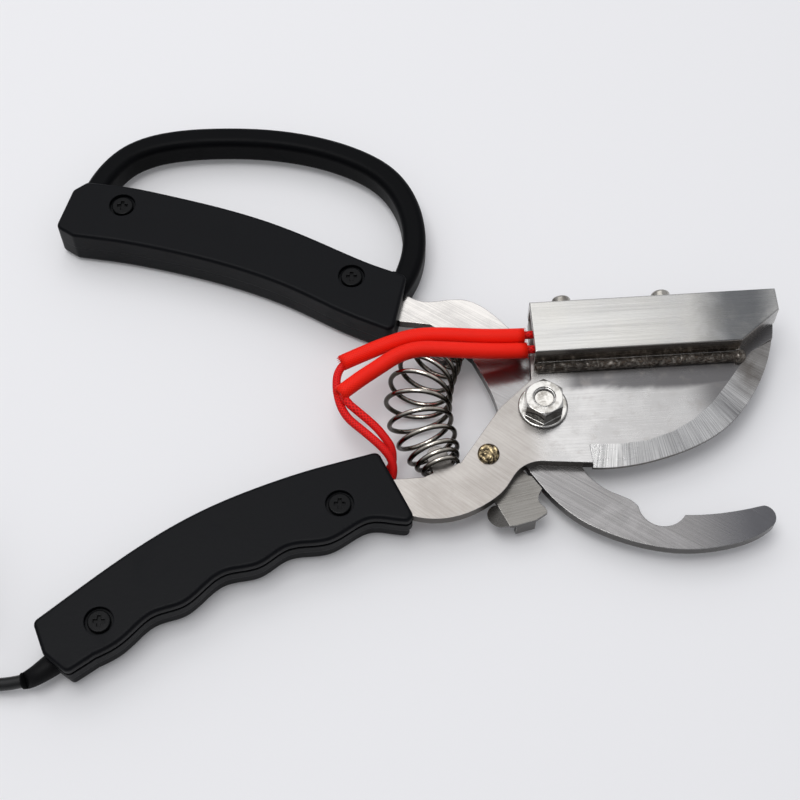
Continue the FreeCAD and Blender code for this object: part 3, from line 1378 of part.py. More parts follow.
power_curves = rounded_route("power_cord", route(POWER_CORD_ROUTE))
place(solid_piece("free_cord", tube("power_cord", power_curves, size("cord_diameter"))), "power_cord")

cord_diameter = size("cord_diameter")
coil_step = cord_diameter + size("coil_gap")
coil_floor = size("tie_thickness") + size("tie_gap") + cord_diameter / 2
coil_outer = size("coil_middle_radius") + size("coil_spread") / 2
coil_inner = size("coil_middle_radius") - size("coil_spread") / 2
COIL_STEPS = 4
COIL_EASE = 1 / COIL_STEPS
coil_layer_turns = math.floor(size("coil_turns") / size("coil_layers") * COIL_STEPS) / COIL_STEPS
coil_pitch = size("coil_spread") / coil_layer_turns


def coil_radius(turn):
    """The spiral runs in and out again, eased for a quarter turn on each side of a reversal."""
    reversal = min(round(turn / coil_layer_turns), size("coil_layers") - 1)
    nearest = abs(turn - reversal * coil_layer_turns)
    if reversal and nearest < COIL_EASE:
        nearest = nearest * nearest / (2 * COIL_EASE) + COIL_EASE / 2
    return coil_inner + nearest * coil_pitch if reversal % 2 else coil_outer - nearest * coil_pitch


def coil_level(turn):
    """Each layer is climbed in the half turn where the spiral reverses."""
    level = coil_floor
    for reversal in range(1, int(size("coil_layers"))):
        done = (turn - reversal * coil_layer_turns + COIL_EASE) / (2 * COIL_EASE)
        done = min(1, max(0, done))
        level += coil_step * done * done * (3 - 2 * done)
    return level


coil_entry = route(POWER_CORD_ROUTE)[-1] - Vector(cord_diameter, 0, 0)
COIL_CENTRE = Vector(coil_entry.x, coil_entry.y + coil_radius(0), 0)


def coil_place(turn):
    angle = -math.pi / 2 - 2 * math.pi * turn
    spoke = Vector(math.cos(angle), math.sin(angle), 0)
    return COIL_CENTRE + spoke * coil_radius(turn) + UP * coil_level(turn)


def coil_way(turn):
    nudge = 0.001
    return (coil_place(turn + nudge) - coil_place(turn - nudge)).normalize()


coil_marks = [step / COIL_STEPS for step in range(int(size("coil_turns") * COIL_STEPS) + 1)]
coil_places = [coil_place(turn) for turn in coil_marks]
coil_ways = [coil_way(turn) for turn in coil_marks]
coil_ways[0] = Vector(-1, 0, 0)
coil_ways[-1] = Vector(0, 1, 0)
coil_exit = coil_places[-1] + coil_ways[-1] * cord_diameter
coil_curves = [Part.LineSegment(coil_entry + Vector(cord_diameter, 0, 0), coil_places[0])]
coil_curves += winding(coil_places, coil_ways)
coil_curves.append(Part.LineSegment(coil_places[-1], coil_exit))
place(solid_piece("coil", tube("cord_coil", coil_curves, cord_diameter)), "cord_coil")
report_gap("cord_coil", coil_curves, cord_diameter, 3 * coil_inner)
print("coil ends at", coil_exit)

tail_curves = rounded_route("cord_tail", route(CORD_TAIL_ROUTE))
place(solid_piece("tail", tube("cord_tail", tail_curves, cord_diameter)), "cord_tail")

# Tie: a strap round the whole bundle on its near side

bundle_spare = cord_diameter / 2 + size("tie_gap")
bundle_top = coil_floor + coil_step * (size("coil_layers") - 1) + bundle_spare
tie_inner = Part.makeBox(
    coil_outer - coil_inner + 2 * bundle_spare, size("tie_width"), bundle_top - size("tie_thickness"),
    COIL_CENTRE + Vector(coil_inner - bundle_spare, -size("tie_width") / 2, size("tie_thickness")))
tie_outer = Part.makeBox(
    tie_inner.BoundBox.XLength + 2 * size("tie_thickness"), size("tie_width"),
    bundle_top + size("tie_thickness"),
    COIL_CENTRE + Vector(coil_inner - bundle_spare - size("tie_thickness"), -size("tie_width") / 2, 0))
place(solid_piece("tie", tie_outer.cut(tie_inner)), "cord_tie")

# Plug: a flat two-pin plug that lies beside the coil

plug_start = route(CORD_TAIL_ROUTE)[-1]
PLUG_WAY = Vector(0, 1, 0)
plug_back = plug_start + PLUG_WAY * size("plug_neck_length")
plug_face = plug_back + PLUG_WAY * size("plug_length")


def plug_shape():
    half = size("plug_width") / 2
    body_box = Part.makeBox(size("plug_width"), size("plug_length"), size("plug_height"),
                            Vector(plug_back.x - half, plug_back.y, 0))
    body_box = body_box.makeFillet(size("plug_round"), body_box.Edges)
    neck = Part.makeCone(size("plug_neck_end_diameter") / 2, size("plug_neck_diameter") / 2,
                         size("plug_neck_length") + size("plug_round"), plug_start, PLUG_WAY)
    return body_box.fuse(neck)


def pin_shape(side):
    foot = plug_face + Vector(side * size("plug_pin_spacing") / 2, 0, 0)
    radius = size("plug_pin_diameter") / 2
    pin = cylinder(foot, PLUG_WAY, radius, size("plug_pin_length"))
    rim = [edge for edge in pin.Edges if edge.BoundBox.YMin > plug_face.y + size("plug_pin_length") - SAME]
    return pin.makeFillet(radius / 2, rim)


place(solid_piece("plug", plug_shape()), "plug_body")
place(solid_piece("pins", Part.makeCompound([pin_shape(side) for side in (-1, 1)])), "plug_pins")

# Export

doc.recompute()
for piece in doc.Objects:
    if "Invalid" in piece.State or "Error" in piece.State:
        raise ValueError("failed: " + piece.Name)
os.makedirs("parts", exist_ok=True)
for piece in SUB_PARTS:
    if piece.Shape.isNull() or not piece.Shape.isValid():
        raise ValueError("bad shape: " + piece.Label)
    piece.Shape.exportStep("parts/" + piece.Label + ".step")
    print(piece.Label, len(piece.Shape.Solids), "solids,", round(piece.Shape.Volume), "cubic mm")
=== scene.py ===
import logging
import math
from dataclasses import dataclass, field
from enum import Enum

import bmesh
import bpy
from bpy.types import Material, Mesh, Node, NodeOutputs, NodeSocket, NodeTree, Object
from mathutils import Matrix, Vector


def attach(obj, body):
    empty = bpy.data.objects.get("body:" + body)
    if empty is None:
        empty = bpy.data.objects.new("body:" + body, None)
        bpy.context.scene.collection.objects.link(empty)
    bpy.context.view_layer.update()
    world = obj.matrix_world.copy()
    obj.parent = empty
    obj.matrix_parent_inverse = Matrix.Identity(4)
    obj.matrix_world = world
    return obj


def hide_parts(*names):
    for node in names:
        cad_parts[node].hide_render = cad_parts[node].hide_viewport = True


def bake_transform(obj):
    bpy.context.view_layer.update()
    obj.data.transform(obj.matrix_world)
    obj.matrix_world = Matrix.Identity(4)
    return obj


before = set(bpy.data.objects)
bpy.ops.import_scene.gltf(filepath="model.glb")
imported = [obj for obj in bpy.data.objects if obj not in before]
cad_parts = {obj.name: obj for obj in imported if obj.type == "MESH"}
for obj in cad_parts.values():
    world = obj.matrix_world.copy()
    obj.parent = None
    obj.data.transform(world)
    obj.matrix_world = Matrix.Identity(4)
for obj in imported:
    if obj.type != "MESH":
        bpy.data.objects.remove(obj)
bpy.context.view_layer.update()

LOG = logging.getLogger("docking_shears")
PIVOT = Vector((0.0483, -0.0132, 0.0))
Colour = tuple[float, float, float]
Point = tuple[float, float, float]
Route = tuple[Point, ...]
Span = tuple[float, float]


class Body(Enum):
    """The two halves that new pieces ride on."""

    BLADE = "blade_half"
    GUARD = "guard_half"


def at(x: float, y: float, z: float) -> Vector:
    """A place measured from the pivot axis in millimetres.

    Args:
        x: Millimetres towards the jaws.
        y: Millimetres towards the hand guard.
        z: Millimetres above the table.

    Returns:
        The same place in the frame, in metres.
    """
    return PIVOT + Vector((x, y, z)) * 0.001


HOUSING_FOOT = at(-2.7, 17.3, 15.0)
HOUSING_TILT = 3.9


class Tree:
    """Short calls that add nodes to one node tree and join them."""

    def __init__(self, tree: NodeTree) -> None:
        """Work on this node tree."""
        self.tree = tree

    def add(self, kind: str, inputs: dict | None = None, **settings: object) -> Node:
        """Add a node.

        Args:
            kind: The node's type.
            inputs: What feeds its sockets, by name or number.
            **settings: The node's own settings.

        Returns:
            The new node.
        """
        node = self.tree.nodes.new(kind)
        for name, value in settings.items():
            setattr(node, name, value)
        for name, value in (inputs or {}).items():
            self.feed(node, name, value)
        return node

    def feed(self, node: Node, name: str | int, value: object) -> None:
        """Join a socket to a node's input, or write a plain value in it.

        Args:
            node: The node that is fed.
            name: Its input, by name or number.
            value: The socket or the plain value.
        """
        if isinstance(value, NodeSocket):
            self.tree.links.new(value, node.inputs[name])
        else:
            node.inputs[name].default_value = value

    def math(self, operation: str, first: object, second: object = 0.0) -> NodeSocket:
        """The result of one sum on two numbers."""
        return self.add("ShaderNodeMath", {0: first, 1: second}, operation=operation).outputs[0]

    def vector(self, operation: str, first: object, second: object) -> Node:
        """The node that holds one sum on two vectors."""
        return self.add("ShaderNodeVectorMath", {0: first, 1: second}, operation=operation)

    def times(self, first: object, second: object) -> NodeSocket:
        """One number times another: two masks joined, or one made weaker."""
        return self.math("MULTIPLY", first, second)

    def plus(self, first: object, second: object) -> NodeSocket:
        """Two numbers added."""
        return self.math("ADD", first, second)

    def weigh(self, *parts: tuple[object, float]) -> NodeSocket:
        """The sum of several numbers, each times its own weight.

        Args:
            *parts: The numbers with their weights.

        Returns:
            The socket of the sum.
        """
        total = self.times(*parts[0])
        for part in parts[1:]:
            total = self.plus(total, self.times(*part))
        return total

    def step(self, value: object, low: object, high: object, start: float = 0.0,
             end: float = 1.0) -> NodeSocket:
        """A smooth change of a number into another range.

        Args:
            value: The number that drives it.
            low: Where the change starts.
            high: Where it ends.
            start: The result at low.
            end: The result at high.

        Returns:
            The socket that holds the result.
        """
        inputs = {"Value": value, "From Min": low, "From Max": high, "To Min": start, "To Max": end}
        return self.add("ShaderNodeMapRange", inputs, interpolation_type="SMOOTHSTEP").outputs["Result"]

    def band(self, value: object, span: Span) -> NodeSocket:
        """A mask that rises from the first end of a span to the second."""
        return self.step(value, *span)

    def blend(self, mask: object, first: object, second: object) -> NodeSocket:
        """Two colours mixed by a mask.

        Args:
            mask: How much of the second shows, from 0 to 1.
            first: The colour where the mask is 0.
            second: The colour where the mask is 1.

        Returns:
            The socket of the mixed colour.
        """
        first, second = [(*value, 1.0) if isinstance(value, tuple) else value for value in (first, second)]
        return self.add("ShaderNodeMix", {0: mask, 6: first, 7: second}, data_type="RGBA").outputs[2]

    def axes(self, origin: Vector, turn: float) -> NodeSocket:
        """Object coordinates measured from a point and turned about the upright axis.

        Args:
            origin: The point, in metres.
            turn: The turn in degrees.

        Returns:
            The socket of the turned coordinates.
        """
        place = self.add("ShaderNodeTexCoord").outputs["Object"]
        moved = self.vector("SUBTRACT", place, tuple(origin)).outputs[0]
        across, along = math.sin(math.radians(turn)), math.cos(math.radians(turn))
        ways = ((along, across, 0.0), (-across, along, 0.0), (0.0, 0.0, 1.0))
        dots = [self.vector("DOT_PRODUCT", moved, way).outputs["Value"] for way in ways]
        return self.add("ShaderNodeCombineXYZ", {0: dots[0], 1: dots[1], 2: dots[2]}).outputs[0]

    def split(self, vector: NodeSocket) -> list[NodeSocket]:
        """The three parts of a vector."""
        return list(self.add("ShaderNodeSeparateXYZ", {0: vector}).outputs)

    def facing_up(self) -> NodeSocket:
        """How far the surface faces up, from -1 to 1."""
        return self.split(self.add("ShaderNodeNewGeometry").outputs["Normal"])[2]


class Effects:
    """The shader node groups that several finishes share."""

    def __init__(self) -> None:
        """Build every group once."""
        self.grain = self.build_grain()
        self.cloud = self.build_cloud()
        self.edge = self.build_edge()
        self.braid = self.build_braid()
        self.pits = self.build_pits()

    def start(self, name: str, inputs: dict[str, object],
              outputs: list[str]) -> tuple[Tree, dict, Node]:
        """Open a new group.

        Args:
            name: The group's name.
            inputs: Its inputs and their values.
            outputs: Its outputs, all plain numbers but one called Normal.

        Returns:
            The tree, its inputs by name, and the node that its outputs feed.
        """
        group = bpy.data.node_groups.new(name, "ShaderNodeTree")
        for label, value in inputs.items():
            kind = "NodeSocketFloat" if isinstance(value, float) else "NodeSocketVector"
            socket = group.interface.new_socket(label, in_out="INPUT", socket_type=kind)
            socket.default_value = value
        for label in outputs:
            kind = "NodeSocketVector" if label == "Normal" else "NodeSocketFloat"
            group.interface.new_socket(label, in_out="OUTPUT", socket_type=kind)
        tree = Tree(group)
        source = tree.add("NodeGroupInput")
        return tree, {label: source.outputs[label] for label in inputs}, tree.add("NodeGroupOutput")

    def build_grain(self) -> NodeTree:
        """Fine parallel lines, as grinding and brushing leave.

        Returns:
            The group.
        """
        tree, given, sink = self.start(
            "brushed_lines", {"Place": (0.0, 0.0, 0.0), "Along": 60.0, "Across": 2500.0}, ["Lines"])
        x, y, z = tree.split(given["Place"])
        stretched = tree.add("ShaderNodeCombineXYZ", {
            0: tree.times(x, given["Along"]), 1: tree.times(y, given["Across"]),
            2: tree.times(z, given["Across"])})
        noise = tree.add("ShaderNodeTexNoise", {
            "Vector": stretched.outputs[0], "Scale": 1.0, "Detail": 4.0, "Roughness": 0.62})
        tree.feed(sink, "Lines", noise.outputs[0])
        return tree.tree

    def build_cloud(self) -> NodeTree:
        """Soft uneven patches, as handling and heat leave.

        Returns:
            The group.
        """
        tree, given, sink = self.start(
            "soft_patches", {"Place": (0.0, 0.0, 0.0), "Scale": 60.0, "Low": 0.45, "High": 0.65}, ["Mask"])
        noise = tree.add("ShaderNodeTexNoise", {
            "Vector": given["Place"], "Scale": given["Scale"], "Detail": 5.0, "Roughness": 0.6,
            "Distortion": 0.3})
        tree.feed(sink, "Mask", tree.step(noise.outputs[0], given["Low"], given["High"]))
        return tree.tree

    def build_edge(self) -> NodeTree:
        """Edges found by a softened normal, for wear and for a rounded look.

        Returns:
            The group.
        """
        tree, given, sink = self.start("worn_edges", {"Width": 0.0004}, ["Mask", "Normal"])
        soft = tree.add("ShaderNodeBevel", {"Radius": given["Width"]}, samples=6).outputs[0]
        plain = tree.add("ShaderNodeNewGeometry").outputs["Normal"]
        match = tree.vector("DOT_PRODUCT", soft, plain).outputs["Value"]
        tree.feed(sink, "Mask", tree.step(match, 0.995, 0.90))
        tree.feed(sink, "Normal", soft)
        return tree.tree

    def build_braid(self) -> NodeTree:
        """Crossing threads wound round a tube, from its own UV map.

        Returns:
            The group.
        """
        tree, given, sink = self.start(
            "braided_threads", {"Along": 100.0, "Around": 8.0}, ["Height", "Thread"])
        u, v, _ = tree.split(tree.add("ShaderNodeTexCoord").outputs["UV"])
        counts = (tree.times(u, given["Along"]), tree.times(v, given["Around"]))
        waves = []
        for sign in ("ADD", "SUBTRACT"):
            phase = tree.times(tree.math(sign, *counts), 2 * math.pi)
            waves.append(tree.math("SINE", phase))
        over = tree.math("MAXIMUM", *waves)
        under = tree.times(*waves)
        tree.feed(sink, "Height", tree.weigh((over, 0.4), (under, 0.25)))
        tree.feed(sink, "Thread", tree.step(over, -0.2, 0.75))
        return tree.tree

    def build_pits(self) -> NodeTree:
        """The fine uneven skin of a moulded or cast surface.

        Returns:
            The group.
        """
        tree, given, sink = self.start(
            "moulded_skin", {"Place": (0.0, 0.0, 0.0), "Scale": 1800.0}, ["Height"])
        cells = tree.add("ShaderNodeTexVoronoi", {"Vector": given["Place"], "Scale": given["Scale"]})
        noise = tree.add("ShaderNodeTexNoise", {
            "Vector": given["Place"], "Scale": tree.times(given["Scale"], 0.4), "Detail": 3.0})
        tree.feed(sink, "Height", tree.plus(tree.times(cells.outputs["Distance"], 0.5), noise.outputs[0]))
        return tree.tree


EFFECTS = Effects()


class Mix(Tree):
    """The tree of one new material, with the shared groups at hand."""

    def __init__(self, name: str) -> None:
        """Start a material.

        Args:
            name: The material's name.
        """
        self.material = bpy.data.materials.new(name)
        self.material.use_nodes = True
        super().__init__(self.material.node_tree)

    def group(self, effect: NodeTree, **inputs: object) -> NodeOutputs:
        """The outputs of a shared group, placed with values of its own."""
        return self.add("ShaderNodeGroup", inputs, node_tree=effect).outputs

    def lines(self, place: object, along: float, across: float) -> NodeSocket:
        """Grinding lines over these places, with so many to the metre along and across."""
        return self.group(EFFECTS.grain, Place=place, Along=along, Across=across)["Lines"]

    def patches(self, place: object, scale: float, low: float, high: float) -> NodeSocket:
        """A mask of soft patches over these places."""
        return self.group(EFFECTS.cloud, Place=place, Scale=scale, Low=low, High=high)["Mask"]

    def edges(self, width: float) -> tuple[NodeSocket, NodeSocket]:
        """The mask of the edges, rounded by this width, and the rounded normal."""
        found = self.group(EFFECTS.edge, Width=width)
        return found["Mask"], found["Normal"]

    def bump(self, height: object, distance: float, normal: object = None) -> NodeSocket:
        """A bump over an optional normal.

        Args:
            height: The height, from 0 to about 1.
            distance: How far a height of 1 stands out, in metres.
            normal: The normal below it, or None.

        Returns:
            The socket of the bumped normal.
        """
        node = self.add("ShaderNodeBump", {"Height": height, "Distance": distance, "Strength": 1.0})
        if normal is not None:
            self.feed(node, "Normal", normal)
        return node.outputs[0]

    def finish(self, colour: object, rough: object, **inputs: object) -> Material:
        """Feed the shader.

        Args:
            colour: The base colour.
            rough: The roughness.
            **inputs: Its other inputs, with a low line for each space in their names.

        Returns:
            The finished material.
        """
        shader = self.tree.nodes["Principled BSDF"]
        for name, value in {"Base_Color": colour, "Roughness": rough, **inputs}.items():
            self.feed(shader, name.replace("_", " "), value)
        return self.material


@dataclass(frozen=True)
class BrushedSteel:
    """Steel with grinding lines, soft patches, painted shade on its upright faces and bright worn corners."""

    name: str
    light: Colour = (0.62, 0.61, 0.60)
    dark: Colour = (0.44, 0.43, 0.42)
    painted_side_shade: Colour = (0.20, 0.19, 0.18)
    worn: Colour = (0.78, 0.77, 0.75)
    turn: float = 0.0
    along: float = 40.0
    across: float = 2600.0
    smooth: float = 0.26
    rough: float = 0.42
    depth: float = 0.000012
    patch: float = 45.0
    round_edge: float = 0.0004
    painted_shade_slope: Span = (0.75, 0.25)
    tail: Colour | None = None
    tip: Colour | None = None
    tail_start: Span = (-0.002, -0.016)
    tail_rise: Span = (0.019, 0.027)
    tip_start: Span = (0.046, 0.074)

    def dress(self) -> Material:
        """Mix the finish.

        Returns:
            The finished material.
        """
        mix = Mix(self.name)
        place = mix.axes(PIVOT, self.turn)
        lines = mix.lines(place, self.along, self.across)
        patches = mix.patches(place, self.patch, low=0.40, high=0.66)
        worn, soft = mix.edges(self.round_edge)
        shade = mix.weigh((mix.step(lines, 0.32, 0.68), 0.55), (patches, 0.45))
        colour = mix.blend(shade, self.light, self.dark)
        if self.tail and self.tip:
            x, y, _ = mix.split(mix.axes(PIVOT, 0.0))
            behind = mix.times(mix.band(x, self.tail_start), mix.band(y, self.tail_rise))
            colour = mix.blend(mix.times(behind, mix.step(shade, 0.0, 1.0, 1.0, 0.62)), colour, self.tail)
            colour = mix.blend(mix.times(mix.band(x, self.tip_start), 0.85), colour, self.tip)
        # Painted shade: faces that stand upright are darkened towards the painted side shade colour.
        side_shade_mask = mix.band(mix.math("ABSOLUTE", mix.facing_up()), self.painted_shade_slope)
        colour = mix.blend(side_shade_mask, colour, self.painted_side_shade)
        colour = mix.blend(mix.times(worn, 0.55), colour, self.worn)
        rough = mix.step(shade, 0.0, 1.0, self.smooth, self.rough)
        return mix.finish(colour, rough, Metallic=1.0, Normal=mix.bump(lines, self.depth, soft))


@dataclass(frozen=True)
class BladeSteel:
    """The blade lever: brushed blade, cross-ground bevel, and a sanded warm grey neck and tail."""

    name: str = "blade_steel"
    blade: Colour = (0.54, 0.53, 0.52)
    blade_dark: Colour = (0.45, 0.44, 0.43)
    # Dark of the painted reflection below the housing and of the heat stain near the tip.
    heat_stain_and_reflection_dark: Colour = (0.085, 0.082, 0.085)
    bevel: Colour = (0.84, 0.83, 0.81)
    bevel_dark: Colour = (0.235, 0.23, 0.23)
    stained: Colour = (0.13, 0.108, 0.088)
    neck: Colour = (0.43, 0.405, 0.38)
    neck_dark: Colour = (0.31, 0.285, 0.262)
    painted_side_shade: Colour = (0.12, 0.11, 0.10)
    worn: Colour = (0.80, 0.79, 0.77)
    smooth: float = 0.20
    rough: float = 0.32
    depth: float = 0.000014
    round_edge: float = 0.00035
    painted_shade_slope: Span = (0.45, 0.15)
    blade_turn: float = 4.0
    neck_turn: float = -38.0
    bevel_centre: Vector = field(default_factory=lambda: at(27.5, 35.1, 0.0))
    bevel_radius: float = 0.058
    neck_start: Span = (0.004, -0.009)
    bevel_slope: Span = (0.9975, 0.990)
    bevel_limit: Span = (0.3, 0.6)
    reflection_run: Span = (0.006, 0.016)
    reflection_depth: Span = (-0.0118, -0.0085)
    tip_run: Span = (0.052, 0.066)
    tip_depth: Span = (-0.030, -0.018)
    stain_run: Span = (0.064, 0.080)
    stain_depth: Span = (-0.024, -0.006)

    def around_bevel(self, mix: Mix) -> NodeSocket:
        """Places measured across the bevel and along its arc.

        Args:
            mix: The material.

        Returns:
            The socket of the places.
        """
        x, y, _ = mix.split(mix.axes(self.bevel_centre, 0.0))
        reach = mix.math("SQRT", mix.plus(mix.times(x, x), mix.times(y, y)))
        arc = mix.times(mix.math("ARCTAN2", y, x), self.bevel_radius)
        return mix.add("ShaderNodeCombineXYZ", {0: reach, 1: arc, 2: 0.0}).outputs[0]

    def heat_stain_and_painted_reflection(self, mix: Mix, run: object, below: object, patches: object) -> NodeSocket:
        """Where the blade is painted darker: a painted dark reflection of the housing's front wall in a band
        below the housing, and a heat stain near the tip.

        Args:
            mix: The material.
            run: Metres along the housing's foot.
            below: Metres from that foot, less than 0 on the blade.
            patches: The mask that makes the border uneven.

        Returns:
            The socket of the mask.
        """
        border = mix.plus(below, mix.times(patches, 0.0025))
        # Painted dark reflection of the housing's front wall, in a band on the blade below the housing.
        painted_reflection = mix.times(mix.band(border, self.reflection_depth), mix.band(run, self.reflection_run))
        tip = mix.times(mix.band(run, self.tip_run), mix.band(below, self.tip_depth))
        return mix.math("MAXIMUM", mix.times(painted_reflection, 0.95), mix.times(tip, 0.85))

    def dress(self) -> Material:
        """Mix the finish.

        Returns:
            The finished material.
        """
        mix = Mix(self.name)
        along_blade = mix.axes(PIVOT, self.blade_turn)
        over_bevel = self.around_bevel(mix)
        fine = mix.lines(along_blade, along=30.0, across=2400.0)
        coarse = mix.lines(mix.axes(PIVOT, self.neck_turn), along=70.0, across=1700.0)
        ground = mix.lines(over_bevel, along=40.0, across=2300.0)
        bands = mix.lines(over_bevel, along=6.0, across=95.0)
        patches = mix.patches(along_blade, scale=38.0, low=0.36, high=0.70)
        spots = mix.patches(along_blade, scale=210.0, low=0.52, high=0.75)
        worn, soft = mix.edges(self.round_edge)
        up = mix.facing_up()
        run, below, _ = mix.split(mix.axes(HOUSING_FOOT, HOUSING_TILT))
        is_neck = mix.band(mix.split(along_blade)[0], self.neck_start)
        is_bevel = mix.times(mix.band(up, self.bevel_slope), mix.band(up, self.bevel_limit))
        shade = mix.weigh((mix.step(fine, 0.32, 0.68), 0.35), (patches, 0.65))
        blade = mix.blend(shade, self.blade, self.blade_dark)
        # Painted dark reflection below the housing, and a heat stain near the tip.
        blade = mix.blend(mix.times(self.heat_stain_and_painted_reflection(mix, run, below, patches), 0.9), blade, self.heat_stain_and_reflection_dark)
        sanded = mix.weigh((mix.step(coarse, 0.33, 0.67), 0.5), (patches, 0.5))
        neck = mix.blend(sanded, self.neck, self.neck_dark)
        cut = mix.weigh((mix.step(ground, 0.38, 0.64), 0.50), (mix.step(bands, 0.41, 0.66), 0.50))
        bevel = mix.blend(cut, self.bevel, self.bevel_dark)
        stain = mix.times(mix.band(run, self.stain_run), mix.band(below, self.stain_depth))
        bevel = mix.blend(mix.times(stain, mix.step(patches, 0.0, 1.0, 0.9, 0.55)), bevel, self.stained)
        colour = mix.blend(is_neck, blade, neck)
        colour = mix.blend(mix.times(spots, 0.30), colour, self.neck_dark)
        colour = mix.blend(is_bevel, colour, bevel)
        # Painted shade: upright faces are darkened towards the painted side shade colour.
        colour = mix.blend(mix.band(mix.math("ABSOLUTE", up), self.painted_shade_slope), colour, self.painted_side_shade)
        colour = mix.blend(mix.times(worn, 0.4), colour, self.worn)
        rough = mix.plus(mix.step(shade, 0.0, 1.0, self.smooth, self.rough), mix.times(is_neck, 0.10))
        height = mix.weigh(
            (fine, 0.4), (mix.times(coarse, is_neck), 0.8), (mix.times(ground, is_bevel), 1.1))
        return mix.finish(colour, rough, Metallic=1.0, Normal=mix.bump(height, self.depth, soft))


@dataclass(frozen=True)
class HousingSteel:
    """The heater housing: a box brushed along its length, with a browned weld along its foot, a painted dark
    reflection on its front face, painted shade on the strip above the weld, and a dark bluish band that is
    partly heat tint and partly painted reflection.
    """

    name: str = "housing_steel"
    light: Colour = (0.555, 0.548, 0.53)
    dark: Colour = (0.455, 0.448, 0.432)
    # Dark bluish colour, partly heat tint and partly painted reflection.
    heat_tint_and_reflection: Colour = (0.10, 0.105, 0.112)
    straw: Colour = (0.60, 0.57, 0.50)
    painted_side_shade: Colour = (0.30, 0.272, 0.245)
    worn: Colour = (0.84, 0.83, 0.81)
    weld: Colour = (0.29, 0.265, 0.235)
    weld_brown_and_foot_shade: Colour = (0.10, 0.078, 0.06)
    weld_dark: Colour = (0.035, 0.030, 0.026)
    smooth: float = 0.20
    rough: float = 0.34
    depth: float = 0.00034
    round_edge: float = 0.0005
    painted_shade_slope: Span = (0.8, 0.3)
    weld_edge: Span = (0.0, -0.0003)
    foot_shade_rise: Span = (0.0034, 0.0002)
    foot_shade_depth: Span = (0.0012, 0.0)
    dark_band_start: Span = (0.061, 0.073)
    dark_band_end: Span = (0.096, 0.081)
    front_shade_depth: Span = (0.010, 0.004)

    def dress(self) -> Material:
        """Mix the finish.

        Returns:
            The finished material.
        """
        mix = Mix(self.name)
        place = mix.axes(HOUSING_FOOT, HOUSING_TILT)
        lines = mix.lines(place, along=16.0, across=2600.0)
        streaks = mix.lines(place, along=22.0, across=260.0)
        beads = mix.patches(place, scale=760.0, low=0.36, high=0.64)
        soot = mix.patches(place, scale=190.0, low=0.40, high=0.62)
        haze = mix.patches(place, scale=55.0, low=0.36, high=0.70)
        worn, soft = mix.edges(self.round_edge)
        along, across, up = mix.split(place)
        is_weld = mix.band(across, self.weld_edge)
        # Painted shade along the lowest strip of the front face, just above the weld.
        foot_shade = mix.times(mix.band(up, self.foot_shade_rise), mix.band(across, self.foot_shade_depth))
        shade = mix.weigh((mix.step(lines, 0.3, 0.7), 0.55), (mix.step(streaks, 0.38, 0.62), 0.25))
        steel = mix.blend(shade, self.light, self.dark)
        # A dark bluish band, partly heat tint and partly painted dark reflection.
        wander = mix.plus(along, mix.times(haze, 0.006))
        dark_band = mix.times(mix.band(wander, self.dark_band_start), mix.band(wander, self.dark_band_end))
        steel = mix.blend(mix.times(dark_band, 0.85), steel, self.heat_tint_and_reflection)
        steel = mix.blend(mix.times(haze, 0.22), steel, self.straw)
        # Painted dark reflection: the upright front face is darkened towards the painted side shade colour.
        side_shade_mask = mix.band(mix.math("ABSOLUTE", mix.facing_up()), self.painted_shade_slope)
        front_shade_mask = mix.times(side_shade_mask, mix.band(across, self.front_shade_depth))
        steel = mix.blend(mix.times(front_shade_mask, 0.9), steel, self.painted_side_shade)
        steel = mix.blend(mix.times(worn, 0.5), steel, self.worn)
        # Painted shade above the weld, in the weld's brown.
        steel = mix.blend(mix.times(foot_shade, 0.75), steel, self.weld_brown_and_foot_shade)
        weld = mix.blend(beads, self.weld, self.weld_brown_and_foot_shade)
        weld = mix.blend(mix.times(soot, 0.60), weld, self.weld_dark)
        rough = mix.plus(mix.step(shade, 0.0, 1.0, self.smooth, self.rough), mix.times(is_weld, 0.12))
        height = mix.weigh((lines, 0.02), (mix.times(beads, is_weld), 1.0))
        normal = mix.bump(height, self.depth, soft)
        return mix.finish(mix.blend(is_weld, steel, weld), rough, Metallic=1.0, Normal=normal)


@dataclass(frozen=True)
class PlatedSteel:
    """Bright plated hardware with dull patches, a fine skin and painted shade on its sides and underside."""

    name: str
    light: Colour = (0.78, 0.76, 0.72)
    dull: Colour = (0.50, 0.47, 0.42)
    painted_side_shade: Colour = (0.30, 0.285, 0.26)
    worn: Colour = (0.86, 0.85, 0.82)
    smooth: float = 0.12
    rough: float = 0.30
    scale: float = 260.0
    skin: float = 1500.0
    depth: float = 0.000010
    round_edge: float = 0.0004
    painted_shade_slope: Span = (0.75, 0.15)

    def dress(self) -> Material:
        """Mix the finish.

        Returns:
            The finished material.
        """
        mix = Mix(self.name)
        place = mix.axes(PIVOT, 0.0)
        patches = mix.patches(place, self.scale, low=0.42, high=0.70)
        height = mix.group(EFFECTS.pits, Place=place, Scale=self.skin)["Height"]
        worn, soft = mix.edges(self.round_edge)
        colour = mix.blend(patches, self.light, self.dull)
        # Painted shade: faces that do not face up are darkened towards the painted side shade colour.
        colour = mix.blend(mix.band(mix.facing_up(), self.painted_shade_slope), colour, self.painted_side_shade)
        colour = mix.blend(mix.times(worn, 0.5), colour, self.worn)
        rough = mix.step(patches, 0.0, 1.0, self.smooth, self.rough)
        return mix.finish(colour, rough, Metallic=1.0, Normal=mix.bump(height, self.depth, soft))


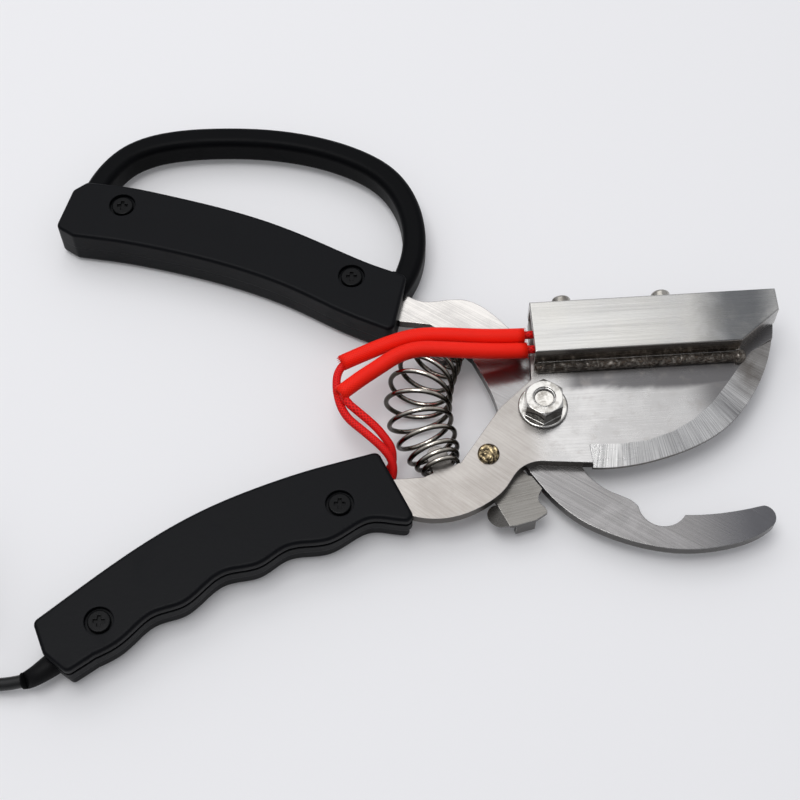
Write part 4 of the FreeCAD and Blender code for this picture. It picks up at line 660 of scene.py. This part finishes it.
@dataclass(frozen=True)
class HammeredBrass:
    """The rivet's dull gold head, dented by the hammer, with dark mottled patches."""

    name: str = "rivet_brass"
    light: Colour = (0.42, 0.33, 0.19)
    dark: Colour = (0.035, 0.027, 0.018)
    smooth: float = 0.30
    rough: float = 0.48
    dents: float = 760.0
    depth: float = 0.0007

    def dress(self) -> Material:
        """Mix the finish.

        Returns:
            The finished material.
        """
        mix = Mix(self.name)
        place = mix.axes(PIVOT, 0.0)
        dents = mix.add("ShaderNodeTexVoronoi", {"Vector": place, "Scale": self.dents}, feature="SMOOTH_F1")
        patches = mix.patches(place, scale=700.0, low=0.40, high=0.60)
        rough = mix.step(patches, 0.0, 1.0, self.smooth, self.rough)
        normal = mix.bump(dents.outputs["Distance"], self.depth)
        return mix.finish(mix.blend(patches, self.light, self.dark), rough, Metallic=1.0, Normal=normal)


@dataclass(frozen=True)
class Moulded:
    """Moulded plastic or rubber with a fine skin, faint dust and slightly worn corners."""

    name: str
    colour: Colour = (0.0036, 0.0039, 0.0050)
    worn: Colour = (0.0078, 0.0082, 0.0098)
    rough: float = 0.50
    polished: float = 0.38
    gloss: float = 0.085
    skin: float = 1500.0
    depth: float = 0.00003
    round_edge: float = 0.0006

    def dress(self) -> Material:
        """Mix the finish.

        Returns:
            The finished material.
        """
        mix = Mix(self.name)
        place = mix.axes(PIVOT, 0.0)
        height = mix.group(EFFECTS.pits, Place=place, Scale=self.skin)["Height"]
        dust = mix.patches(place, scale=55.0, low=0.45, high=0.80)
        worn, soft = mix.edges(self.round_edge)
        colour = mix.blend(mix.times(dust, 0.35), self.colour, self.worn)
        colour = mix.blend(mix.times(worn, 0.5), colour, self.worn)
        return mix.finish(colour, mix.step(dust, 0.0, 1.0, self.polished, self.rough),
                          Specular_IOR_Level=self.gloss, Normal=mix.bump(height, self.depth, soft))


@dataclass(frozen=True)
class Braided:
    """Woven glass-fibre round a lead or a sleeve, its threads counted along and around."""

    name: str
    thread: Colour
    gap: Colour
    along: float
    around: float
    depth: float
    rough: float = 0.55
    gloss: float = 0.16

    def dress(self) -> Material:
        """Mix the finish.

        Returns:
            The finished material.
        """
        mix = Mix(self.name)
        weave = mix.group(EFFECTS.braid, Along=self.along, Around=self.around)
        fade = mix.patches(mix.axes(PIVOT, 0.0), scale=130.0, low=0.35, high=0.75)
        colour = mix.blend(weave["Thread"], self.gap, self.thread)
        colour = mix.blend(mix.times(fade, 0.25), colour, self.gap)
        return mix.finish(colour, self.rough, Specular_IOR_Level=self.gloss,
                          Normal=mix.bump(weave["Height"], self.depth))


def paint(material: Material, *nodes: str) -> None:
    """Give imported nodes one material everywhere.

    Args:
        material: The material.
        *nodes: The names of the nodes.
    """
    for node in nodes:
        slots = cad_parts[node].data.materials
        if not slots:
            slots.append(material)
        for number in range(len(slots)):
            slots[number] = material
        LOG.info("dressed %s in %s", node, material.name)


def link(name: str, data: bpy.types.ID) -> Object:
    """Put new data in the scene.

    Args:
        name: The new object's name.
        data: Its mesh, curve, lamp or camera.

    Returns:
        The new object.
    """
    obj = bpy.data.objects.new(name, data)
    bpy.context.scene.collection.objects.link(obj)
    return obj


def settle(name: str, work: bmesh.types.BMesh) -> Object:
    """Put an edited mesh in the scene.

    Args:
        name: The name of the object and its mesh.
        work: The edited mesh, which is freed.

    Returns:
        The new object.
    """
    mesh = bpy.data.meshes.new(name)
    work.to_mesh(mesh)
    work.free()
    return link(name, mesh)


def swell(per_turn: int) -> float:
    """How many times further out than the curve itself a coil's control points stand."""
    return 1 / (0.75 + 0.25 * math.cos(2 * math.pi / per_turn))


def smooth_curve(name: str, points: list[Vector], diameter: float, steps: int = 6) -> Object:
    """A round bar on one open smooth spline.

    Args:
        name: The object's name.
        points: The spline's control points.
        diameter: The bar's diameter, or 0 for a bare line.
        steps: How finely each stretch is divided.

    Returns:
        The curve object.
    """
    data = bpy.data.curves.new(name, "CURVE")
    data.dimensions = "3D"
    data.resolution_u = steps
    data.bevel_depth = diameter / 2
    data.bevel_resolution = 4
    spline = data.splines.new("NURBS")
    spline.points.add(len(points) - 1)
    for control, point in zip(spline.points, points):
        control.co = (*point, 1.0)
    spline.order_u = 3
    spline.use_endpoint_u = True
    return link(name, data)


def mesh_of(bar: Object) -> Mesh:
    """Turn a curve object into a mesh.

    Args:
        bar: The curve object, which is removed.

    Returns:
        Its mesh.
    """
    mesh = bpy.data.meshes.new_from_object(bar)
    data = bar.data
    bpy.data.objects.remove(bar)
    bpy.data.curves.remove(data)
    return mesh


def line_of(points: list[Vector]) -> list[Vector]:
    """The line that a tube follows.

    Args:
        points: The control points of its smooth centre line.

    Returns:
        The points of the line.
    """
    mesh = mesh_of(smooth_curve("guide", points, 0.0))
    places = [vertex.co.copy() for vertex in mesh.vertices]
    bpy.data.meshes.remove(mesh)
    return places


def run_length(places: list[Vector]) -> float:
    """The length of a line of points."""
    return sum((b - a).length for a, b in zip(places, places[1:]))


def mesh_tube(name: str, points: list[Vector], diameter: float, capped: bool = True,
              steps: int = 6) -> Object:
    """A tube of mesh with a UV map along it and around it.

    Args:
        name: The object's name.
        points: The control points of its smooth centre line.
        diameter: The tube's outer diameter.
        capped: Whether its ends are closed.
        steps: How finely each stretch is divided.

    Returns:
        The mesh object.
    """
    bar = smooth_curve(name + "_bar", points, diameter, steps)
    bar.data.use_fill_caps = capped
    mesh = mesh_of(bar)
    mesh.name = name
    for polygon in mesh.polygons:
        polygon.use_smooth = True
    work = bmesh.new()
    work.from_mesh(mesh)
    bmesh.ops.remove_doubles(work, verts=work.verts, dist=1e-7)
    if capped:
        bmesh.ops.recalc_face_normals(work, faces=work.faces)
    work.to_mesh(mesh)
    work.free()
    return link(name, mesh)


@dataclass
class Levers:
    """The two crossed levers, the latch below them and its rivet."""

    blade: BladeSteel = field(default_factory=BladeSteel)
    guard: BrushedSteel = BrushedSteel(
        "guard_lever_steel", light=(0.33, 0.32, 0.317), dark=(0.225, 0.218, 0.215), painted_side_shade=(0.09, 0.086, 0.082),
        turn=-32.0, along=30.0, across=2600.0, smooth=0.17, rough=0.30, tail=(0.62, 0.595, 0.565),
        tip=(0.12, 0.12, 0.13))
    latch: BrushedSteel = BrushedSteel(
        "latch_steel", light=(0.215, 0.206, 0.192), dark=(0.15, 0.142, 0.13), painted_side_shade=(0.11, 0.105, 0.10),
        turn=15.0, smooth=0.2, rough=0.34, round_edge=0.0003)
    rivet: HammeredBrass = field(default_factory=HammeredBrass)

    def build(self) -> None:
        """Dress the four plates."""
        paint(self.blade.dress(), "blade_lever")
        paint(self.guard.dress(), "guard_lever")
        paint(self.latch.dress(), "latch")
        paint(self.rivet.dress(), "latch_rivet")


@dataclass
class Pivot:
    """The bolt, washer and flange nut, with the bolt's thread showing in the nut."""

    # The nut's side colour is painted shade on its flanks.
    nut: PlatedSteel = PlatedSteel(
        "nut_plating", light=(0.60, 0.585, 0.555), dull=(0.27, 0.255, 0.23), painted_side_shade=(0.055, 0.052, 0.047),
        smooth=0.05, rough=0.15, scale=320.0)
    bolt: PlatedSteel = PlatedSteel(
        "bolt_plating", light=(0.66, 0.64, 0.60), dull=(0.30, 0.28, 0.25), painted_side_shade=(0.14, 0.13, 0.12),
        smooth=0.10, rough=0.26)
    bolt_radius: float = 0.00395
    thread_depth: float = 0.0006
    thread_half: float = 0.00045
    thread_low: float = 0.02215
    thread_rise: float = 0.0004
    thread_steps: int = 48

    def thread(self) -> Object:
        """The last turn of thread inside the nut's mouth, spun as a helix and closed at both ends.

        Returns:
            The mesh object.
        """
        work = bmesh.new()
        outer = self.bolt_radius
        inner = outer - self.thread_depth
        start = []
        for reach, rise in ((outer, -self.thread_half), (inner, 0.0), (outer, self.thread_half)):
            start.append(work.verts.new(PIVOT + Vector((reach, 0.0, self.thread_low + rise))))
        edges = [work.edges.new((a, b)) for a, b in zip(start, start[1:] + start[:1])]
        bmesh.ops.spin(work, geom=start + edges, cent=PIVOT, axis=(0, 0, 1), steps=self.thread_steps,
                       angle=2 * math.pi, dvec=(0, 0, self.thread_rise / self.thread_steps), use_merge=False)
        bmesh.ops.holes_fill(work, edges=[edge for edge in work.edges if edge.is_boundary], sides=3)
        bmesh.ops.recalc_face_normals(work, faces=work.faces)
        return settle("nut_thread", work)

    def build(self) -> None:
        """Dress the hardware and add the thread."""
        nut = self.nut.dress()
        paint(nut, "pivot_nut")
        thread = self.thread()
        thread.data.materials.append(nut)
        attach(thread, Body.BLADE.value)
        paint(self.bolt.dress(), "pivot_bolt", "pivot_washer")


@dataclass
class Housing:
    """The heater housing, what shows in its open end, and its two screws."""

    shell: HousingSteel = field(default_factory=HousingSteel)
    screw: PlatedSteel = PlatedSteel(
        "housing_screw_plating", light=(0.46, 0.44, 0.40), dull=(0.27, 0.25, 0.22), smooth=0.20, rough=0.38)
    inside: PlatedSteel = PlatedSteel(
        "heater_sheath", light=(0.34, 0.31, 0.28), dull=(0.12, 0.10, 0.09), smooth=0.32, rough=0.5)
    bush: Moulded = Moulded(
        "bush_ceramic", colour=(0.62, 0.58, 0.50), worn=(0.40, 0.35, 0.28), rough=0.7, polished=0.6)

    def build(self) -> None:
        """Dress the housing and its inner pieces."""
        paint(self.shell.dress(), "heater_housing")
        paint(self.screw.dress(), "housing_screws")
        paint(self.inside.dress(), "heater_cartridge", "clamp_block")
        paint(self.bush.dress(), "heater_end_bush")


@dataclass
class ReturnSpring:
    """The barrel spring between the two levers, wound on a bowed axis."""

    low_seat: tuple[float, float, float, float] = (-36.0, -24.7, 13.0, 112.0)
    high_seat: tuple[float, float, float, float] = (-31.8, 29.5, 8.95, 225.0)
    bow: Point = (-44.8, 3.0, 13.5)
    wire: float = 1.8
    turns: int = 11
    end_radius: float = 6.1
    middle_radius: float = 11.5
    stand_off: float = 1.4
    closed_pitch: float = 2.75
    low_turns: float = 2.0
    high_turns: float = 1.5
    per_turn: int = 14
    fullness: float = 1.3
    axis_steps: int = 200
    # The wire's side colour is painted shade on all but the top of the wire.
    steel: PlatedSteel = PlatedSteel(
        "spring_steel", light=(0.74, 0.69, 0.61), dull=(0.44, 0.40, 0.34), painted_side_shade=(0.065, 0.056, 0.045),
        smooth=0.09, rough=0.2, scale=240.0, painted_shade_slope=(0.98, 0.50))

    def axis_at(self, share: float) -> tuple[Vector, Vector]:
        """A place on the bowed axis, and the way it runs there.

        Args:
            share: How far along the axis, from 0 to 1.

        Returns:
            The place in millimetres from the pivot, and a unit vector.
        """
        ways = []
        ends = []
        for x, y, z, lean in (self.low_seat, self.high_seat):
            way = Vector((math.cos(math.radians(lean)), math.sin(math.radians(lean)), 0.0))
            ends.append(Vector((x, y, z)) + way * self.stand_off)
            ways.append(way)
        low, high = ends
        bow = Vector(self.bow)
        middle_way = (high - low).normalized()
        first, second = (bow - low).length, (high - bow).length
        if share < first / (first + second):
            t = share * (first + second) / first
            a, b, u, v, reach = low, bow, ways[0], middle_way, first
        else:
            t = (share * (first + second) - first) / second
            a, b, u, v, reach = bow, high, middle_way, -ways[1], second
        t2, t3 = t * t, t * t * t
        place = (a * (2 * t3 - 3 * t2 + 1) + u * reach * (t3 - 2 * t2 + t) + b * (3 * t2 - 2 * t3)
                 + v * reach * (t3 - t2))
        slope = (a * (6 * t2 - 6 * t) + u * reach * (3 * t2 - 4 * t + 1) + b * (6 * t - 6 * t2)
                 + v * reach * (3 * t2 - 2 * t))
        return place, slope.normalized()

    def climb(self, length: float) -> list[float]:
        """How far the wire has climbed at each of its points, with closed turns at both ends.

        Args:
            length: The length of the axis in millimetres.

        Returns:
            The climb at each point.
        """
        open_turns = self.turns - self.low_turns - self.high_turns - 1
        opened = self.closed_pitch + (length - self.closed_pitch * self.turns) / open_turns
        climbed = [0.0]
        for step in range(self.turns * self.per_turn):
            here = (step + 0.5) / self.per_turn
            above, below = here - self.low_turns, self.turns - self.high_turns - here
            openness = min(1.0, max(0.0, above), max(0.0, below))
            pitch = self.closed_pitch + (opened - self.closed_pitch) * openness
            climbed.append(climbed[-1] + pitch / self.per_turn)
        return climbed

    def wind(self) -> list[Vector]:
        """Wind the wire round the bowed axis.

        Returns:
            The control points of its centre line.
        """
        axis = [self.axis_at(step / self.axis_steps)[0] for step in range(self.axis_steps + 1)]
        length = run_length(axis)
        points = []
        for step, rise in enumerate(self.climb(length)):
            turn = step / self.per_turn
            share = math.sin(math.pi * turn / self.turns) ** self.fullness
            radius = self.end_radius + (self.middle_radius - self.end_radius) * share
            place, along = self.axis_at(min(1.0, rise / length))
            aside = along.cross(Vector((0, 0, 1))).normalized()
            over = aside.cross(along)
            angle = 2 * math.pi * turn
            spoke = aside * math.cos(angle) + over * math.sin(angle)
            points.append(at(*(place + spoke * (radius * swell(self.per_turn)))))
        return points

    def build(self) -> None:
        """Wind the spring, dress it and hide the imported one."""
        spring = mesh_tube("return_spring_wire", self.wind(), self.wire * 0.001, steps=4)
        spring.data.materials.append(self.steel.dress())
        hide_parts("return_spring")
        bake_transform(spring)
        LOG.info("built %s", spring.name)


@dataclass
class Leads:
    """The two heater leads and the woven sleeves that cover them up to the housing."""

    lead: float = 0.003
    sleeve: float = 0.0058
    bore: float = 0.0034
    lead_weave: float = 0.0011
    sleeve_weave: float = 0.0009
    fibres: int = 26
    fibre_root: float = 0.00022
    fibre_tip: float = 0.00004
    fibre_reach: float = 0.0009
    fibre_spread: float = 0.0008
    fibre_inset: float = 0.0004
    fibre_sunk: float = 0.0006
    fibre_lean: Span = (0.35, 0.5)
    fibre_scatter: Span = (2.7, 1.9)
    routes: tuple[Route, ...] = (
        ((-91.0, -42.2, 6.8), (-84.0, -36.6, 6.6), (-73.0, -32.0, 6.6), (-63.0, -29.3, 6.9),
         (-58.0, -28.4, 7.0), (-53.6, -26.0, 10.2), (-53.7, -21.6, 14.8), (-56.9, -18.2, 18.2),
         (-63.6, -12.4, 19.4), (-71.3, -5.6, 19.4), (-74.4, 4.5, 19.5), (-73.6, 13.6, 20.3),
         (-65.5, 18.4, 21.0), (-55.0, 22.9, 21.6), (-46.0, 25.8, 21.9), (-36.0, 26.2, 21.8),
         (-26.0, 25.9, 21.3), (-16.0, 26.1, 20.5), (-6.4, 27.3, 19.2), (4.2, 29.3, 18.5)),
        ((-92.0, -36.8, 7.0), (-84.0, -32.2, 7.0), (-73.0, -28.4, 7.0), (-63.0, -25.5, 7.2),
         (-58.2, -24.3, 7.4), (-53.8, -21.4, 10.6), (-53.9, -16.9, 15.6), (-57.0, -13.2, 18.2),
         (-61.0, -8.8, 19.6), (-74.9, 2.1, 22.7), (-60.5, 11.0, 22.9), (-52.4, 16.8, 23.6),
         (-45.0, 19.3, 23.8), (-36.5, 19.2, 23.6), (-26.5, 19.2, 22.6), (-14.6, 19.8, 20.9),
         (-5.7, 21.2, 19.2), (4.6, 23.2, 18.4)))
    sleeve_mouths: tuple[Route, ...] = (
        ((-72.3, 15.2, 20.4),),
        ((-72.9, 1.1, 22.7), (-66.0, 7.0, 22.8)))
    covered_points: int = 7

    def fringe(self, name: str, end: Vector, way: Vector, material: Material) -> Object:
        """A ring of loose fibres at a sleeve's cut end.

        Args:
            name: The object's name.
            end: The middle of the cut end.
            way: The way that the sleeve points there.
            material: The fibres' material.

        Returns:
            The mesh object.
        """
        work = bmesh.new()
        aside = way.orthogonal().normalized()
        over = way.cross(aside)
        for number in range(self.fibres):
            angle = 2 * math.pi * number / self.fibres
            spoke = aside * math.cos(angle) + over * math.sin(angle)
            longer, wider = [math.sin(number * scatter) for scatter in self.fibre_scatter]
            reach = self.fibre_reach + self.fibre_spread * abs(longer)
            lean = (way + spoke * (self.fibre_lean[0] + self.fibre_lean[1] * wider)).normalized()
            foot = end + spoke * (self.sleeve / 2 - self.fibre_inset) - lean * self.fibre_sunk
            turn = Vector((0, 0, 1)).rotation_difference(lean).to_matrix().to_4x4()
            bmesh.ops.create_cone(work, cap_ends=True, segments=5, radius1=self.fibre_root,
                                  radius2=self.fibre_tip, depth=reach,
                                  matrix=Matrix.Translation(foot + lean * reach / 2) @ turn)
        tuft = settle(name, work)
        tuft.data.materials.append(material)
        return tuft

    def lay_lead(self, number: int, route: Route) -> None:
        """Lay one lead from the grip to the housing.

        Args:
            number: The lead's number.
            route: Its control points, in millimetres from the pivot.
        """
        points = [at(*point) for point in route]
        line = line_of(points)
        length = run_length(line)
        lead = mesh_tube("lead_%d_braid" % number, points, self.lead)
        lead.data.materials.append(Braided(
            "lead_weave_%d" % number, thread=(0.90, 0.014, 0.012), gap=(0.42, 0.005, 0.006),
            along=length / self.lead_weave, around=6.0, depth=0.00008).dress())
        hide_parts("heater_lead_%d" % number)
        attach(lead, Body.BLADE.value)
        LOG.info("built %s, %.0f mm", lead.name, length * 1000)

    def pull_sleeve(self, number: int, route: Route, fibre: Material) -> None:
        """Pull a sleeve over a lead and fray its ends.

        Args:
            number: The lead's number.
            route: The sleeve's control points, in millimetres from the pivot.
            fibre: The material of the loose fibres.
        """
        points = [at(*point) for point in route]
        path = line_of(points)
        reach = run_length(path)
        sleeve = mesh_tube("sleeve_%d_weave" % number, points, self.sleeve, capped=False)
        wall = sleeve.modifiers.new("wall", "SOLIDIFY")
        wall.thickness = (self.sleeve - self.bore) / 2
        wall.offset = -1
        sleeve.data.materials.append(Braided(
            "sleeve_weave_%d" % number, thread=(0.97, 0.017, 0.005), gap=(0.80, 0.010, 0.003),
            along=reach / self.sleeve_weave, around=16.0, depth=0.00006).dress())
        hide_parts("lead_sleeve_%d" % number)
        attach(sleeve, Body.BLADE.value)
        for label, end, inner in (("start", path[0], path[1]), ("end", path[-1], path[-2])):
            tuft = self.fringe("sleeve_%d_fray_%s" % (number, label), end, (end - inner).normalized(), fibre)
            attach(tuft, Body.BLADE.value)
        LOG.info("built %s, %.0f mm", sleeve.name, reach * 1000)

    def build(self) -> None:
        """Lay each lead and pull its sleeve over it."""
        fibre = Braided("sleeve_fibre", thread=(0.95, 0.020, 0.006), gap=(0.75, 0.012, 0.004), along=1.0,
                        around=1.0, depth=0.0).dress()
        for number, route in enumerate(self.routes, start=1):
            self.lay_lead(number, route)
            covered = self.sleeve_mouths[number - 1] + route[-1 - self.covered_points:-1]
            self.pull_sleeve(number, covered, fibre)


@dataclass
class Grips:
    """The two hollow grips, their screws and nuts, and the hand guard."""

    shell: Moulded = Moulded("grip_plastic")
    guard: Moulded = Moulded(
        "guard_plastic", colour=(0.0026, 0.0028, 0.0034), worn=(0.0055, 0.0058, 0.0068), polished=0.4,
        gloss=0.05)
    screw: Moulded = Moulded(
        "screw_black", colour=(0.0024, 0.0025, 0.0030), worn=(0.012, 0.012, 0.013), rough=0.34,
        polished=0.24, gloss=0.10, skin=2400.0, depth=0.00001, round_edge=0.0003)
    nut: PlatedSteel = PlatedSteel("grip_nut_plating", light=(0.60, 0.57, 0.52))

    def build(self) -> None:
        """Dress both grips."""
        paint(self.shell.dress(), "lower_grip_front", "lower_grip_rear", "upper_grip_front",
              "upper_grip_rear")
        paint(self.screw.dress(), "lower_grip_screws", "upper_grip_screws")
        paint(self.nut.dress(), "lower_grip_nuts", "upper_grip_nuts")
        paint(self.guard.dress(), "hand_guard")


@dataclass
class MainsCord:
    """The cord inside the grip, its boot, the free cord with its put-away coil, the tie and the plug."""

    diameter: float = 0.0045
    free: Route = (
        (-177.8, -99.3, 6.0), (-184.0, -100.3, 4.7), (-193.5, -99.4, 3.4), (-206.0, -97.9, 3.25),
        (-218.5, -96.9, 3.25), (-227.5, -96.9, 3.25))
    tail: Route = (
        (-263.78, -61.9, 18.25), (-263.78, -53.0, 18.25), (-264.6, -43.2, 15.2), (-266.3, -33.9, 10.6),
        (-267.5, -24.5, 7.6), (-268.0, -15.0, 6.75), (-268.0, -7.0, 6.75))
    centre: tuple[float, float] = (-232.0, -66.4)
    outer: float = 30.5
    inner: float = 19.0
    layer_turns: float = 2.25
    layers: int = 4
    floor: float = 3.25
    step: float = 5.0
    ease: float = 0.25
    turns: float = 9.25
    per_turn: int = 16
    jacket: Moulded = Moulded(
        "cord_jacket", colour=(0.006, 0.006, 0.0065), worn=(0.014, 0.014, 0.015), rough=0.44, gloss=0.4,
        skin=900.0, depth=0.00002)
    boot: Moulded = Moulded("boot_rubber", colour=(0.006, 0.006, 0.0065), rough=0.62, polished=0.5)
    plug: Moulded = Moulded("plug_rubber", gloss=0.3)
    pins: PlatedSteel = PlatedSteel("pin_plating", light=(0.76, 0.72, 0.62), dull=(0.55, 0.50, 0.40))
    tie: Moulded = Moulded("tie_plastic", colour=(0.02, 0.02, 0.02), rough=0.4, polished=0.3)
    bright: PlatedSteel = PlatedSteel(
        "small_screw_plating", light=(0.62, 0.60, 0.55), dull=(0.35, 0.33, 0.30))

    def coil_point(self, turn: float) -> Vector:
        """A control point of the coil, which is wound in layers, inwards and outwards by turns.

        Args:
            turn: How many turns it has made.

        Returns:
            The point.
        """
        reversal = min(round(turn / self.layer_turns), self.layers - 1)
        nearest = abs(turn - reversal * self.layer_turns)
        if reversal and nearest < self.ease:
            nearest = nearest * nearest / (2 * self.ease) + self.ease / 2
        pitch = (self.outer - self.inner) / self.layer_turns
        radius = self.inner + nearest * pitch if reversal % 2 else self.outer - nearest * pitch
        level = self.floor
        for number in range(1, self.layers):
            done = min(1.0, max(0.0, (turn - number * self.layer_turns + self.ease) / (2 * self.ease)))
            level += self.step * done * done * (3 - 2 * done)
        radius *= swell(self.per_turn)
        angle = -math.pi / 2 - 2 * math.pi * turn
        return at(self.centre[0] + radius * math.cos(angle), self.centre[1] + radius * math.sin(angle), level)

    def build(self) -> None:
        """Lay the cord and dress all that is on it."""
        marks = [(step + 0.5) / self.per_turn for step in range(int(self.turns * self.per_turn))]
        points = [at(*point) for point in self.free] + [self.coil_point(turn) for turn in marks]
        points += [at(*point) for point in self.tail]
        jacket = self.jacket.dress()
        cord = smooth_curve("mains_cord", points, self.diameter)
        cord.data.use_fill_caps = True
        cord.data.materials.append(jacket)
        length = run_length(line_of(points))
        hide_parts("power_cord", "cord_coil", "cord_tail")
        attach(cord, Body.BLADE.value)
        paint(jacket, "cord_inner")
        paint(self.boot.dress(), "cord_boot")
        paint(self.plug.dress(), "plug_body")
        paint(self.pins.dress(), "plug_pins")
        paint(self.tie.dress(), "cord_tie")
        paint(self.bright.dress(), "clamp_screws", "cord_clamp", "lead_crimps")
        LOG.info("built %s, %.0f mm", cord.name, length * 1000)


@dataclass(frozen=True)
class Lamp:
    """A soft rectangular lamp, the point that it shines at, its width and height, and its power."""

    name: str
    place: Point
    aim: Point
    size: tuple[float, float]
    watts: float

    def hang(self) -> None:
        """Add the lamp to the scene."""
        data = bpy.data.lights.new(self.name, "AREA")
        data.shape = "RECTANGLE"
        data.size, data.size_y = self.size
        data.energy = self.watts
        lamp = link(self.name, data)
        lamp.location = self.place
        lamp.rotation_euler = (Vector(self.aim) - Vector(self.place)).to_track_quat("-Z", "Y").to_euler()


@dataclass
class Studio:
    """The pale table, the lamps and the camera."""

    camera_place: Point = (-0.0030, -0.2936, 0.5370)
    camera_tilt: float = 28.5
    lens: float = 74.25
    sensor: float = 36.0
    table_size: float = 3.0
    table_drop: float = 0.0002
    paper: Colour = (0.805, 0.802, 0.812)
    paper_rough: float = 0.8
    paper_gloss: float = 0.1
    glow: Colour = (1.0, 0.99, 1.0)
    lift: float = 0.07
    sky: Colour = (0.94, 0.955, 1.0)
    sky_way: Span = (0.65, 0.75)
    sky_rise: Span = (-0.35, 0.85)
    dim: float = 0.22
    bright: float = 0.62
    lamps: tuple[Lamp, ...] = (
        Lamp("key_lamp", place=(-0.42, 0.80, 1.35), aim=(-0.42, 0.80, 0.0), size=(1.55, 0.95), watts=4.6),
        Lamp("top_lamp", place=(-0.25, -0.05, 1.5), aim=(0.0, 0.0, 0.0), size=(0.8, 0.7), watts=8.5))

    def table(self) -> None:
        """Lay the pale paper, which glows a little where the camera sees it."""
        work = bmesh.new()
        bmesh.ops.create_grid(work, x_segments=1, y_segments=1, size=self.table_size)
        bmesh.ops.translate(work, verts=work.verts, vec=(0, 0, -self.table_drop))
        table = settle("table", work)
        mix = Mix("table_paper")
        seen = mix.add("ShaderNodeLightPath").outputs["Is Camera Ray"]
        table.data.materials.append(mix.finish(
            (*self.paper, 1.0), self.paper_rough, Specular_IOR_Level=self.paper_gloss,
            Emission_Color=(*self.glow, 1.0), Emission_Strength=mix.times(seen, self.lift)))

    def world(self) -> None:
        """Light the room from all sides, brighter from above and behind."""
        world = bpy.data.worlds.new("studio")
        world.use_nodes = True
        sky = Tree(world.node_tree)
        background = world.node_tree.nodes["Background"]
        background.inputs["Color"].default_value = (*self.sky, 1.0)
        _, back, up = sky.split(sky.add("ShaderNodeTexCoord").outputs["Generated"])
        height = sky.weigh((back, self.sky_way[0]), (up, self.sky_way[1]))
        sky.feed(background, "Strength", sky.step(height, *self.sky_rise, self.dim, self.bright))
        bpy.context.scene.world = world

    def camera(self) -> None:
        """Set the camera where the photo was taken from."""
        data = bpy.data.cameras.new("photo_camera")
        data.lens = self.lens
        data.sensor_width = self.sensor
        camera = link("photo_camera", data)
        camera.location = self.camera_place
        camera.rotation_euler = (math.radians(self.camera_tilt), 0.0, 0.0)
        bpy.context.scene.camera = camera
        bpy.context.scene.view_settings.view_transform = "Standard"

    def build(self) -> None:
        """Set the table, the light and the camera."""
        self.table()
        self.world()
        for lamp in self.lamps:
            lamp.hang()
        self.camera()
        LOG.info("set the studio")


def main() -> None:
    """Build the object piece by piece, then the studio round it."""
    logging.basicConfig(level=logging.INFO, format="%(name)s: %(message)s")
    for piece in (Studio(), MainsCord(), Levers(), Pivot(), Housing(), ReturnSpring(), Leads(), Grips()):
        LOG.info("making %s", type(piece).__name__)
        piece.build()


if __name__ == "__main__":
    main()
